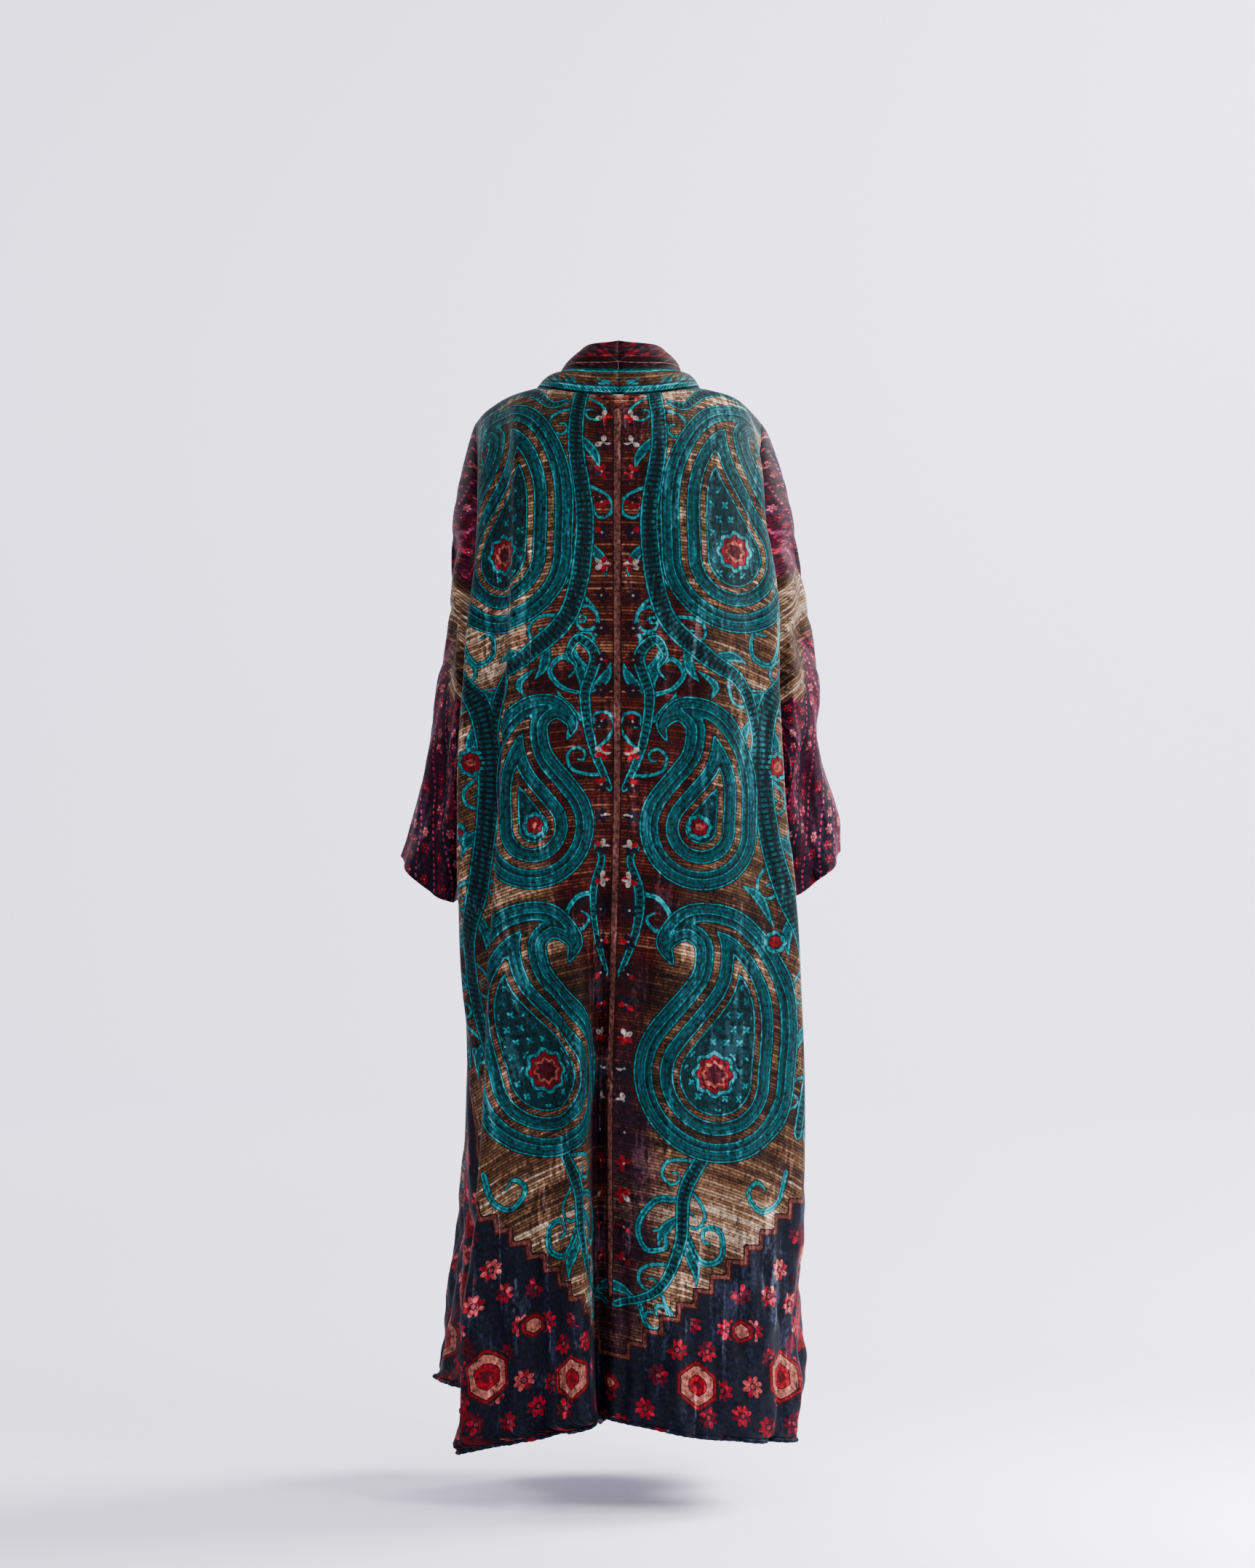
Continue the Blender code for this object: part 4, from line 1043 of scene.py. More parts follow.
def cloth(name, grid, finish, fields, lines, closed=False, flip=False):
    """A piece of cloth from the grid of its outer face, with fields of numbers for its print.

    closed joins its last column to its first; its fields then have a column more than the grid.
    lines are the strokes that each further field measures.
    """
    rows, columns = grid.shape[:2]
    corner_rows, corner_columns = face_corners(rows, columns, closed, flip)
    faces = corner_rows * columns + corner_columns % columns
    piece = shown(name, grid.reshape(-1, 3).tolist(), faces.tolist(), finish)
    at_corners = {field: values[corner_rows, corner_columns] for field, values in fields.items()}
    for field, strokes in lines.items():
        at_corners[field] = line_field(at_corners["cloth_place"], strokes)
    for field, values in at_corners.items():
        add_layer(piece, field, values, "CORNER")
    wall = piece.modifiers.new("cloth_thickness", "SOLIDIFY")
    wall.thickness = CLOTH_THICKNESS
    wall.offset = -1.0
    wall.use_even_offset = False
    wall.material_offset = len(finish) - 1
    return piece


# The rolled hem, overcast with thread that draws it in like a twisted cord
HEM_STEP = 0.0016
HEM_AROUND = 14
HEM_TWIST = 0.024
HEM_GROOVE = 0.30
HEM_GROOVE_ROUNDING = 0.6
HEM_TRIM = 0.005
HEM_EASE_ROUNDS = 12


def hem_line(grid):
    """The middle line of a roll that wraps the lower edge of a panel."""
    facing = outward_of(grid)[-1] * (1, 1, 0)
    for _ in range(HEM_EASE_ROUNDS):
        facing[1:-1] = (facing[:-2] + 2 * facing[1:-1] + facing[2:]) / 4
    return grid[-1] - unit(facing) * CLOTH_THICKNESS / 2 - np.array((0, 0, HEM_ROLL_DROP))


def rolled_hem(name, line, finish):
    """A soft roll with two grooves that wind round it."""
    run = run_along(line)
    at = np.arange(HEM_TRIM, run[-1] - HEM_TRIM, HEM_STEP)
    centre = curve_at(at, run, line)
    along = unit(np.gradient(centre, axis=0))
    aside = unit(np.cross(along, (0, 0, 1)))
    up = np.cross(aside, along)
    angle = np.linspace(0, 2 * math.pi, HEM_AROUND, endpoint=False)[None]
    lobe = np.abs(np.cos(angle - 2 * math.pi * at[:, None] / HEM_TWIST)) ** HEM_GROOVE_ROUNDING
    radius = (HEM_ROLL_RADIUS * (1 - HEM_GROOVE * (1 - lobe)))[..., None]
    ways = np.cos(angle)[..., None] * aside[:, None] + np.sin(angle)[..., None] * up[:, None]
    grid = centre[:, None] + ways * radius
    row, step = np.meshgrid(np.arange(len(at) - 1), np.arange(HEM_AROUND), indexing="ij")
    after = (step + 1) % HEM_AROUND
    turns = (0, step), (0, after), (1, after), (1, step)
    corners = [(row + down) * HEM_AROUND + way for down, way in turns]
    faces = np.stack(corners, axis=-1).reshape(-1, 4).tolist()
    last = (len(at) - 1) * HEM_AROUND
    faces += [list(range(HEM_AROUND))[::-1], list(range(last, last + HEM_AROUND))]
    roll = shown(name, grid.reshape(-1, 3).tolist(), faces, [finish])
    places = np.stack(np.broadcast_arrays(at[:, None], angle * HEM_ROLL_RADIUS, 0.0), axis=-1)
    add_layer(roll, "cloth_place", places, "POINT")
    return roll


def linear(code):
    """A hex colour as linear red, green, blue and alpha."""
    parts = [int(code[at : at + 2], 16) / 255 for at in (1, 3, 5)]
    return (*(part / 12.92 if part <= 0.04045 else ((part + 0.055) / 1.055) ** 2.4 for part in parts), 1.0)


def add(tree, kind, inputs=(), stops=(), stepped=False, **settings):
    """Adds a node with its settings and links, and gives its outputs.

    An input is a value or another node's output, in the node's own order or by name or number. stops
    are the places and colours of a colour ramp, which has hard edges if stepped.
    """
    made = tree.nodes.new("ShaderNode" + kind)
    for name, value in settings.items():
        setattr(made, name, value)
    for name, value in inputs.items() if isinstance(inputs, dict) else enumerate(inputs):
        if isinstance(value, bpy.types.NodeSocket):
            tree.links.new(value, made.inputs[name])
        else:
            made.inputs[name].default_value = value
    if stops:
        ramp = made.color_ramp.elements
        while len(ramp) < len(stops):
            ramp.new(1.0)
        for element, (place, colour) in zip(ramp, stops):
            element.position = place
            element.color = linear(colour) if isinstance(colour, str) else colour
    if stepped:
        made.color_ramp.interpolation = "CONSTANT"
    return made.outputs


# The print's dyes
CLEAR = (0.0, 0.0, 0.0, 0.0)
OUTLINE = "#03181b"
TEAL_LIGHT = "#048489"
TEAL = "#024e53"
TEAL_DEEP = "#012c30"
NAVY = "#131622"
ROSE = "#6c4641"
ROSE_DARK = "#25100f"
LADDER_DYE = "#02191c"
RING_DYE = "#012629"
LOW_MIDDLE_DYE = "#1a1420"
SIDE_RED = "#7c0c1a"
DOT_DYE = "#a8566a"
# A pale grey-blue painted highlight, mixed over the velvet where its pile is crushed and along its fold lines
PAINTED_HIGHLIGHT = "#a9b4c6"

# How each motif is dyed from its edge inwards: the depth in metres at which a dye starts
DROP_BANDS = (
    (0.0000, OUTLINE), (0.0012, TEAL_LIGHT), (0.0030, TEAL_DEEP), (0.0050, TEAL), (0.0094, TEAL_DEEP),
    (0.0104, TEAL), (0.0156, TEAL_LIGHT), (0.0166, TEAL_DEEP), (0.0210, TEAL), (0.0252, TEAL_LIGHT),
    (0.0270, OUTLINE), (0.0282, CLEAR), (0.0366, OUTLINE), (0.0378, TEAL_LIGHT), (0.0394, TEAL),
    (0.0440, TEAL_DEEP), (0.0450, TEAL), (0.0500, TEAL_DEEP), (0.0542, TEAL_LIGHT), (0.0558, OUTLINE),
    (0.0570, CLEAR), (0.0640, OUTLINE), (0.0650, TEAL_LIGHT), (0.0668, TEAL_DEEP),
)
VINE_BANDS = (
    (0.0000, OUTLINE), (0.0011, TEAL_LIGHT), (0.0032, TEAL_DEEP), (0.0042, TEAL), (0.0082, TEAL_DEEP),
    (0.0140, TEAL),
)
FLOWER_BANDS = (
    (0.0000, OUTLINE), (0.0010, TEAL_LIGHT), (0.0060, OUTLINE), (0.0072, "#7a1420"), (0.0140, "#a86a62"),
    (0.0180, "#4a0d18"),
)
RIM_BANDS = ((-0.0012, ROSE_DARK), (0.0008, ROSE), (0.0052, "#4a2422"))
MEDALLION_BANDS = (
    (0.0000, "#3c0f18"), (0.0022, "#8a3a3c"), (0.0052, "#3c0f18"), (0.0068, "#b07a70"), (0.0165, "#4a0a14"),
    (0.0180, "#9c1020"), (0.0245, "#5c0a18"),
)
BODY_BANDS = {
    "stem_depth": ((-0.0012, ROSE_DARK), (0.0008, "#6c4b46")),
    "drop_depth": DROP_BANDS,
    "vine_line": VINE_BANDS,
    "sprig_line": ((-0.0004, OUTLINE), (0.0006, TEAL_LIGHT), (0.0034, TEAL)),
    "flower_depth": FLOWER_BANDS,
    "border_depth": RIM_BANDS + ((0.0064, ROSE_DARK), (0.0078, NAVY)),
    "medallion_depth": MEDALLION_BANDS,
}
SLEEVE_RIM_BANDS = RIM_BANDS + ((0.0064, CLEAR),)
BAND_MARGIN = 0.001
# The print's edges wander by this much, as dye does in pile
PRINT_BLUR = 0.0015
BLUR_SIZE = 0.006

# Small flowers of separate petals in rows: the cell of each across and up, every other row moved by
# shift cells, the petals' middle ring, half length and half width, the eye, how far flowers stray from
# their rows, the share of cells left empty, and the dyes of petals and eye
Flowers = namedtuple(
    "Flowers", "across up shift petals ring half_length half_width eye stray empty dyes eye_dye"
)

BORDER_FLOWERS = Flowers(
    0.047, 0.042, 0.5, 8, 0.0100, 0.0052, 0.0034, 0.0032, 0.014, 0.14,
    ((0.0, "#8c0a20"), (0.30, "#b0142e"), (0.48, "#5a0c20"), (0.66, "#8c0a20"), (0.80, "#b86c6c")), "#8c4c50",
)
STEM_FLOWERS = Flowers(
    0.042, 0.044, 0.0, 5, 0.0068, 0.0050, 0.0038, 0.0018, 0.002, 0.0,
    ((0.0, "#1c0a14"), (0.34, "#7c0c18"), (0.52, "#14101c"), (0.72, "#a89c92"), (0.80, "#98101e")), "#8c7c74",
)
SLEEVE_FLOWERS = Flowers(
    0.021, 0.029, 0.5, 6, 0.0048, 0.0024, 0.0020, 0.0012, 0.000, 0.10,
    ((0.0, "#98142a"), (0.34, "#7c1026"), (0.56, "#b06a70"), (0.82, "#4a0d20")), "#b88084",
)
DROP_FLOWERS = Flowers(
    0.019, 0.019, 0.5, 4, 0.0034, 0.0024, 0.0017, 0.0009, 0.000, 0.0,
    ((0.0, TEAL), (0.5, TEAL_LIGHT), (0.8, TEAL)), TEAL_LIGHT,
)
BAND_FLOWERS = Flowers(
    0.024, 0.029, 0.0, 5, 0.0058, 0.0044, 0.0032, 0.0018, 0.000, 0.06,
    ((0.0, TEAL_LIGHT), (0.45, TEAL), (0.72, "#7a1420"), (0.86, TEAL_LIGHT)), "#3c1018",
)


def soft_noise(tree, place, across_size, up_size, detail=1.0):
    """Soft noise stretched to a size in metres across and up the cloth."""
    size = (1 / across_size, 1 / up_size, 1.0)
    stretched = add(tree, "VectorMath", (place, size), operation="MULTIPLY")[0]
    return add(tree, "TexNoise", {"Vector": stretched, "Scale": 1.0, "Detail": detail})[0]


def weighed(tree, parts, total=0.0):
    """The sum of some numbers, each times its weight, from (number, weight) pairs."""
    for number, weight in parts:
        total = add(tree, "Math", (number, weight, total), operation="MULTIPLY_ADD")[0]
    return total


def where_all(tree, *masks):
    """A mask that is full where all the masks are."""
    whole = masks[0]
    for mask in masks[1:]:
        whole = add(tree, "Math", (whole, mask), operation="MULTIPLY")[0]
    return whole


def dashed(tree, run, spacing, share):
    """A mask of dashes along a run: full over a share of each spacing."""
    turn = add(tree, "Math", (weighed(tree, ((run, 1 / spacing),)),), operation="FRACT")[0]
    return add(tree, "Math", (turn, share), operation="LESS_THAN")[0]


def banded(tree, depth, bands):
    """A mask and colours by how deep a place lies in a motif, from (depth in metres, colour) pairs."""
    start = bands[0][0] - BAND_MARGIN
    end = bands[-1][0] + BAND_MARGIN
    share = add(tree, "MapRange", (depth, start, end))[0]
    stops = [(0.0, CLEAR)] + [((edge - start) / (end - start), colour) for edge, colour in bands]
    colour, mask = add(tree, "ValToRGB", (share,), stops, stepped=True)
    return mask, colour


def overprinted(tree, ground, layers):
    """The ground colour with other colours printed over it in turn, from (mask, colour) pairs."""
    for mask, colour in layers:
        colour = linear(colour) if isinstance(colour, str) else colour
        ground = add(tree, "Mix", {0: mask, 6: ground, 7: colour}, data_type="RGBA")[2]
    return ground


def line_depth(tree, name):
    """How deep inside a thin stroke a place lies, and the length run along it, from a field of lines."""
    field = add(tree, "Attribute", attribute_name=name)["Vector"]
    aside, half_width, run = add(tree, "SeparateXYZ", (field,))
    aside = add(tree, "Math", (aside,), operation="ABSOLUTE")[0]
    return weighed(tree, ((aside, -1.0), (half_width, 1.0))), run


# Space-dyed yarn gives the ground its streaks: a row of yarn and the length of a dyed dash in it. The
# rows are drawn five yarns thick so that they show.
YARN_ROW = 0.0044
YARN_DASH = 0.035
# A stripe of many rows, the length over which a row keeps its tone, and how far apart rows lie in the
# noise that tones them
STRIPE_LENGTH = 0.90
STRIPE_HEIGHT = 0.060
TONE_LENGTH = 0.40
TONE_ROW = 0.37
# The weights of the stripes, rows, dashes and the gaps between rows in the tone, and where it starts
STRIPE_WEIGHT = 0.60
ROW_WEIGHT = 0.54
DASH_WEIGHT = 0.20
GAP_WEIGHT = 0.28
LEAST_TONE = 0.11
SIDE_DYES = ((0.60, "#18100d"), (0.74, "#3c2a21"), (0.85, "#664d3c"), (0.96, "#947a65"), (1.08, "#c6b29c"))
MIDDLE_DYES = ((0.64, "#140a0c"), (0.78, "#2e0e11"), (0.89, "#4a2420"), (0.98, "#6c4a3c"), (1.10, "#967462"))


def striped_ground(tree, place, middle_share, shift):
    """Fine streaky rows across the cloth, tan at the sides and wine brown in the middle."""
    across, up, _ = add(tree, "SeparateXYZ", (place,))
    rows = weighed(tree, ((up, 1 / YARN_ROW),))
    row = add(tree, "Math", (rows,), operation="FLOOR")[0]
    from_gap = add(tree, "Math", (rows, 0.5), operation="PINGPONG")[0]
    yarn = add(tree, "CombineXYZ", (across, row))[0]
    stripe = soft_noise(tree, place, STRIPE_LENGTH, STRIPE_HEIGHT)
    row_tone = soft_noise(tree, yarn, TONE_LENGTH, TONE_ROW)
    dash = soft_noise(tree, yarn, YARN_DASH, TONE_ROW)
    parts = (stripe, STRIPE_WEIGHT), (row_tone, ROW_WEIGHT), (dash, DASH_WEIGHT), (from_gap, GAP_WEIGHT)
    # shift lightens or darkens the rows; on the body it also holds painted shade near the shoulders
    tone = weighed(tree, parts + ((shift, 1.0),), LEAST_TONE)
    side, middle = [add(tree, "ValToRGB", (tone,), dyes)[0] for dyes in (SIDE_DYES, MIDDLE_DYES)]
    return overprinted(tree, side, ((middle_share, middle),))


# How much the chances of a flower and of each of its petals weigh in the choice of a dye
FLOWER_CHANCE = 0.75
PETAL_CHANCE = 0.25


def flower_layers(tree, place, flowers, where):
    """A mask and a colour for the petals and for the eyes of small flowers in rows."""
    scaled = (1 / flowers.across, 1 / flowers.up, 0.0)
    cells = add(tree, "VectorMath", (place, scaled), operation="MULTIPLY")[0]
    cell_across, cell_up, _ = add(tree, "SeparateXYZ", (cells,))
    row = add(tree, "Math", (cell_up,), operation="FLOOR")[0]
    half_row = add(tree, "Math", (row, 0.5), operation="MULTIPLY")[0]
    odd = add(tree, "Math", (half_row,), operation="FRACT")[0]
    moved = weighed(tree, ((odd, 2 * flowers.shift), (cell_across, 1.0)))
    column = add(tree, "Math", (moved,), operation="FLOOR")[0]
    cell = add(tree, "CombineXYZ", (column, row, 0.5))[0]
    chance, chances = add(tree, "TexWhiteNoise", (cell,), noise_dimensions="3D")
    across_it = weighed(tree, ((moved, flowers.across), (column, -flowers.across)), -flowers.across / 2)
    up_it = weighed(tree, ((cell_up, flowers.up), (row, -flowers.up)), -flowers.up / 2)
    local = add(tree, "CombineXYZ", (across_it, up_it))[0]
    stray = (flowers.stray, flowers.stray, 0.0)
    local = add(tree, "VectorMath", (chances, stray, local), operation="MULTIPLY_ADD")[0]
    local = add(tree, "VectorMath", (local, tuple(-part / 2 for part in stray)), operation="ADD")[0]
    reach = add(tree, "VectorMath", (local,), operation="LENGTH")["Value"]
    right, up, _ = add(tree, "SeparateXYZ", (local,))
    angle = add(tree, "Math", (up, right), operation="ARCTAN2")[0]
    turn = weighed(tree, ((angle, flowers.petals / (2 * math.pi)),), float(flowers.petals))
    petal = add(tree, "Math", (turn,), operation="FLOOR")[0]
    off = weighed(tree, ((turn, 1.0), (petal, -1.0)), -0.5)
    off = add(tree, "Math", (off, reach), operation="MULTIPLY")[0]
    off = weighed(tree, ((off, 2 * math.pi / flowers.petals / flowers.half_width),))
    out = weighed(tree, ((reach, 1 / flowers.half_length),), -flowers.ring / flowers.half_length)
    from_petal = add(tree, "CombineXYZ", (out, off))[0]
    from_petal = add(tree, "VectorMath", (from_petal,), operation="LENGTH")["Value"]
    in_petal = add(tree, "Math", (from_petal, 1.0), operation="LESS_THAN")[0]
    in_eye = add(tree, "Math", (reach, flowers.eye), operation="LESS_THAN")[0]
    there = add(tree, "Math", (chance, flowers.empty), operation="GREATER_THAN")[0]
    petal_cell = add(tree, "CombineXYZ", (petal,))[0]
    petal_cell = add(tree, "VectorMath", (petal_cell, cell), operation="ADD")[0]
    petal_chance = add(tree, "TexWhiteNoise", (petal_cell,), noise_dimensions="3D")[0]
    pick = weighed(tree, ((chance, FLOWER_CHANCE), (petal_chance, PETAL_CHANCE)))
    dye = add(tree, "ValToRGB", (pick,), flowers.dyes, stepped=True)[0]
    return [
        (where_all(tree, in_petal, there, where), dye),
        (where_all(tree, in_eye, there, where), flowers.eye_dye),
    ]


# Where the print's small parts lie, in metres. The flowers by the stem stay this near to its middle and
# over its foot. Those of the border, and its red, start this deep inside it, and flowers keep this depth
# away from larger motifs. Small flowers fill the drops, and rungs the vines, from their depths on.
BY_STEM = 0.042
OVER_FOOT = -1.275
INSIDE_BORDER = 0.020
CLEAR_OF_MOTIF = -0.002
DROP_MIDDLE = 0.0700
VINE_MIDDLE = 0.0045
# The middle of the print turns darker between these heights, by this share at most, and the border
# turns red between these distances from the middle
DARK_MIDDLE = (-0.86, -1.12)
DARK_MIDDLE_SHARE = 0.65
RED_SIDE = (0.27, 0.31)
# The rungs across the vines and the fine rings in the drops: how far apart, and how much of that is dark
LADDER = (0.0075, 0.45)
RINGS = (0.0044, 0.26)
RINGS_SHARE = 0.55
# The rings wear off in patches and the red comes in blotches: the size of these, and where they start
# in their noise
WORN_SIZE = (0.008, 0.008)
WORN_FROM = 0.46
BLOTCH_SIZE = (0.022, 0.034)
BLOTCH_FROM = 0.53


def body_print(tree):
    """The print of the back and fronts."""
    cloth_place, half_place, stripe_place, middle_share, stripe_tone = [
        add(tree, "Attribute", attribute_name=name)["Vector" if name.endswith("place") else "Fac"]
        for name in ("cloth_place", "half_place", "stripe_place", "middle_share", "stripe_tone")
    ]
    blur = soft_noise(tree, cloth_place, BLUR_SIZE, BLUR_SIZE, 2.0)
    depths, runs, motifs = {}, {}, {}
    for name, bands in BODY_BANDS.items():
        if name.endswith("_line"):
            depth, runs[name] = line_depth(tree, name)
        else:
            depth = add(tree, "Attribute", attribute_name=name)["Fac"]
        depths[name] = weighed(tree, ((blur, PRINT_BLUR), (depth, 1.0)), -PRINT_BLUR / 2)
        motifs[name] = banded(tree, depths[name], bands)
    aside, up, _ = add(tree, "SeparateXYZ", (half_place,))
    low = add(tree, "MapRange", (up, *DARK_MIDDLE))[0]
    at_side = add(tree, "MapRange", (aside, *RED_SIDE))[0]
    masks = {}
    for name, number, test, edge in (
        ("by_stem", aside, "LESS_THAN", BY_STEM),
        ("over_foot", up, "GREATER_THAN", OVER_FOOT),
        ("in_border", depths["border_depth"], "GREATER_THAN", INSIDE_BORDER),
        ("off_medallion", depths["medallion_depth"], "LESS_THAN", CLEAR_OF_MOTIF),
        ("off_flower", depths["flower_depth"], "LESS_THAN", CLEAR_OF_MOTIF),
        ("off_drop", depths["drop_depth"], "LESS_THAN", 0.0),
        ("in_drop", depths["drop_depth"], "GREATER_THAN", DROP_MIDDLE),
        ("in_vine", depths["vine_line"], "GREATER_THAN", VINE_MIDDLE),
        ("worn", soft_noise(tree, cloth_place, *WORN_SIZE), "GREATER_THAN", WORN_FROM),
        ("blotch", soft_noise(tree, half_place, *BLOTCH_SIZE), "GREATER_THAN", BLOTCH_FROM),
    ):
        masks[name] = add(tree, "Math", (number, edge), operation=test)[0]
    dark_middle = weighed(tree, ((where_all(tree, low, middle_share), DARK_MIDDLE_SHARE),))
    ladder = where_all(tree, dashed(tree, runs["vine_line"], *LADDER), masks["in_vine"], masks["off_drop"])
    rings = dashed(tree, depths["drop_depth"], *RINGS)
    rings = where_all(tree, rings, masks["worn"], motifs["drop_depth"][0])
    in_drop = where_all(tree, masks["in_drop"], masks["off_flower"])
    by_stem = where_all(tree, masks["by_stem"], masks["over_foot"])
    in_border = masks["in_border"]
    medallion, medallion_dyes = motifs["medallion_depth"]
    layers = [
        (dark_middle, LOW_MIDDLE_DYE),
        *(motifs[name] for name in ("sprig_line", "vine_line", "drop_depth", "flower_depth")),
        (ladder, LADDER_DYE),
        (weighed(tree, ((rings, RINGS_SHARE),)), RING_DYE),
        *flower_layers(tree, half_place, DROP_FLOWERS, in_drop),
        motifs["stem_depth"],
        *flower_layers(tree, half_place, STEM_FLOWERS, by_stem),
        motifs["border_depth"],
        (where_all(tree, in_border, at_side, masks["blotch"]), SIDE_RED),
        *flower_layers(tree, half_place, BORDER_FLOWERS, where_all(tree, in_border, masks["off_medallion"])),
        (where_all(tree, medallion, in_border), medallion_dyes),
    ]
    return overprinted(tree, striped_ground(tree, stripe_place, middle_share, stripe_tone), layers)


# The tan part of the sleeve: how far down it starts and ends, and the steps of its edges
SLEEVE_TAN_START = -0.160
SLEEVE_TAN_END = -0.310
SLEEVE_STEP = 0.018
SLEEVE_STEP_REACH = 0.090
SLEEVE_STEP_RISE = 0.8
SLEEVE_TAN_TONE = 0.02
# The dotted lines between the sleeve's rows of flowers: their spacing and thickness, and their dots'
SLEEVE_LINES = (SLEEVE_FLOWERS.up, 0.11)
SLEEVE_DOTS = (0.0085, 0.55)
# The streaks along the rows and the flecks of the plum ground: their size, their detail and their
# weight in its tone
PLUM_STREAKS = (0.9, 0.028, 1.0), 0.9
PLUM_FLECKS = (0.02, 0.003, 2.0), 0.35
PLUM_DYES = ((0.46, "#0f0d1a"), (0.56, "#22121f"), (0.64, "#401226"), (0.76, "#5a1a2e"), (0.86, "#7c3c48"))


def sleeve_print(tree):
    """Plum with slanting rows of small flowers between dotted lines, and a stepped tan part with a vine."""
    place = add(tree, "Attribute", attribute_name="cloth_place")["Vector"]
    rows = add(tree, "Attribute", attribute_name="row_place")["Vector"]
    tones = (rows, *PLUM_STREAKS), (place, *PLUM_FLECKS)
    tone = weighed(tree, [(soft_noise(tree, where, *size), weight) for where, size, weight in tones])
    ground = add(tree, "ValToRGB", (tone,), PLUM_DYES)[0]
    along_row, off_row, _ = add(tree, "SeparateXYZ", (rows,))
    dots = where_all(tree, dashed(tree, off_row, *SLEEVE_LINES), dashed(tree, along_row, *SLEEVE_DOTS))
    across, up, _ = add(tree, "SeparateXYZ", (place,))
    side = add(tree, "Math", (across, SLEEVE_STEP_REACH), operation="PINGPONG")[0]
    step = add(tree, "Math", (side, SLEEVE_STEP), operation="SNAP")[0]
    level = weighed(tree, ((up, 1.0), (step, SLEEVE_STEP_RISE)))
    under = weighed(tree, ((level, -1.0),), SLEEVE_TAN_START)
    over = weighed(tree, ((level, 1.0),), -SLEEVE_TAN_END)
    depth = add(tree, "Math", (under, over), operation="MINIMUM")[0]
    tan_part = add(tree, "Math", (depth, 0.0), operation="GREATER_THAN")[0]
    layers = [
        *flower_layers(tree, rows, SLEEVE_FLOWERS, 1.0),
        (dots, DOT_DYE),
        (tan_part, striped_ground(tree, place, 0.0, SLEEVE_TAN_TONE)),
        banded(tree, line_depth(tree, "vine_line")[0], VINE_BANDS),
        banded(tree, depth, SLEEVE_RIM_BANDS),
    ]
    return overprinted(tree, ground, layers)


# The neck band's print, in shares of its width from the neck seam to its free edge: lines, the stitches
# of the seam, the tan part with small flowers and the dark red part above the crease
BAND_LINES = (
    (0.000, TEAL_DEEP), (0.035, TEAL_LIGHT), (0.110, TEAL_DEEP), (0.125, OUTLINE), (0.140, CLEAR),
    (0.370, OUTLINE), (0.385, TEAL_LIGHT), (0.440, TEAL), (0.490, OUTLINE), (0.505, "#2a0c14"),
    (0.590, "#a07870"), (0.600, "#240a12"), (0.700, "#7c3c38"), (0.720, "#1c0a12"),
)
BAND_STITCHES = (0.045, 0.085)
BAND_TAN = (0.140, 0.370)
BAND_RED = (0.720, 1.100)
BAND_STITCH = (0.0050, 0.45)
BAND_RED_PATCHES = (0.010, 0.014, 2.0)
BAND_RED_DYES = ((0.36, "#0e0c16"), (0.47, "#2a0a14"), (0.56, "#5a0c1a"), (0.66, "#8c1526"))


def band_print(tree):
    """Tan by the neck seam and dark red above the crease, with teal lines between them."""
    place = add(tree, "Attribute", attribute_name="cloth_place")["Vector"]
    stripes = add(tree, "Attribute", attribute_name="stripe_place")["Vector"]
    share = add(tree, "Attribute", attribute_name="band_share")["Fac"]
    up = add(tree, "SeparateXYZ", (place,))[1]
    stitches, tan_part, red_part = [
        add(tree, "Math", (share, (low + high) / 2, (high - low) / 2), operation="COMPARE")[0]
        for low, high in (BAND_STITCHES, BAND_TAN, BAND_RED)
    ]
    red = add(tree, "ValToRGB", (soft_noise(tree, place, *BAND_RED_PATCHES),), BAND_RED_DYES)[0]
    layers = [
        *flower_layers(tree, stripes, BAND_FLOWERS, tan_part),
        banded(tree, share, BAND_LINES),
        (red_part, red),
        (where_all(tree, dashed(tree, up, *BAND_STITCH), stitches), OUTLINE),
    ]
    return overprinted(tree, striped_ground(tree, stripes, 0.0, 0.0), layers)


# The hem's red patches are this long. On its thin roll they reach all the way round.
HEM_PATCHES = (0.060, 9.0)
HEM_DYES = ((0.0, "#0d1320"), (0.60, "#141a28"), (0.63, "#7a0f1c"), (0.70, "#a01426"))
# The patches and the grain of the velvet's back: how many to a metre, their detail and their weight
BACKING_NOISE = ((9.0, 2.0, 0.7), (700.0, 1.0, 0.5))
BACKING_DYES = ((0.45, "#20150f"), (0.60, "#3a2a20"), (0.75, "#4c3a2c"))


def hem_dye(tree):
    """Navy with red where the border's red runs over the rolled edge."""
    place = add(tree, "Attribute", attribute_name="cloth_place")["Vector"]
    return add(tree, "ValToRGB", (soft_noise(tree, place, *HEM_PATCHES),), HEM_DYES)[0]


def backing(tree):
    """The brown woven back of the velvet, which shows inside, with a fine grain and soft patches."""
    place = add(tree, "TexCoord")["Object"]
    parts = [
        (add(tree, "TexNoise", {"Vector": place, "Scale": scale, "Detail": detail})[0], weight)
        for scale, detail, weight in BACKING_NOISE
    ]
    return add(tree, "ValToRGB", (weighed(tree, parts),), BACKING_DYES)[0]


# Silk and viscose velvet has a short upright pile. It is dark straight on, and speckle and brushed streaks
# vary its tone.
# Painted sheen makes its colour brighter where the pile is crushed, with thin pale painted highlight lines
# where it was folded.
# Its gloss is soft: a cloth's usual roughness, little mirror gloss and a slight sheen at grazing angles.
PILE_ROUGHNESS = 0.62
PILE_GLOSS = 0.06
SHEEN_WEIGHT = 0.03
SHEEN_ROUGHNESS = 0.32
SATURATION = 1.26
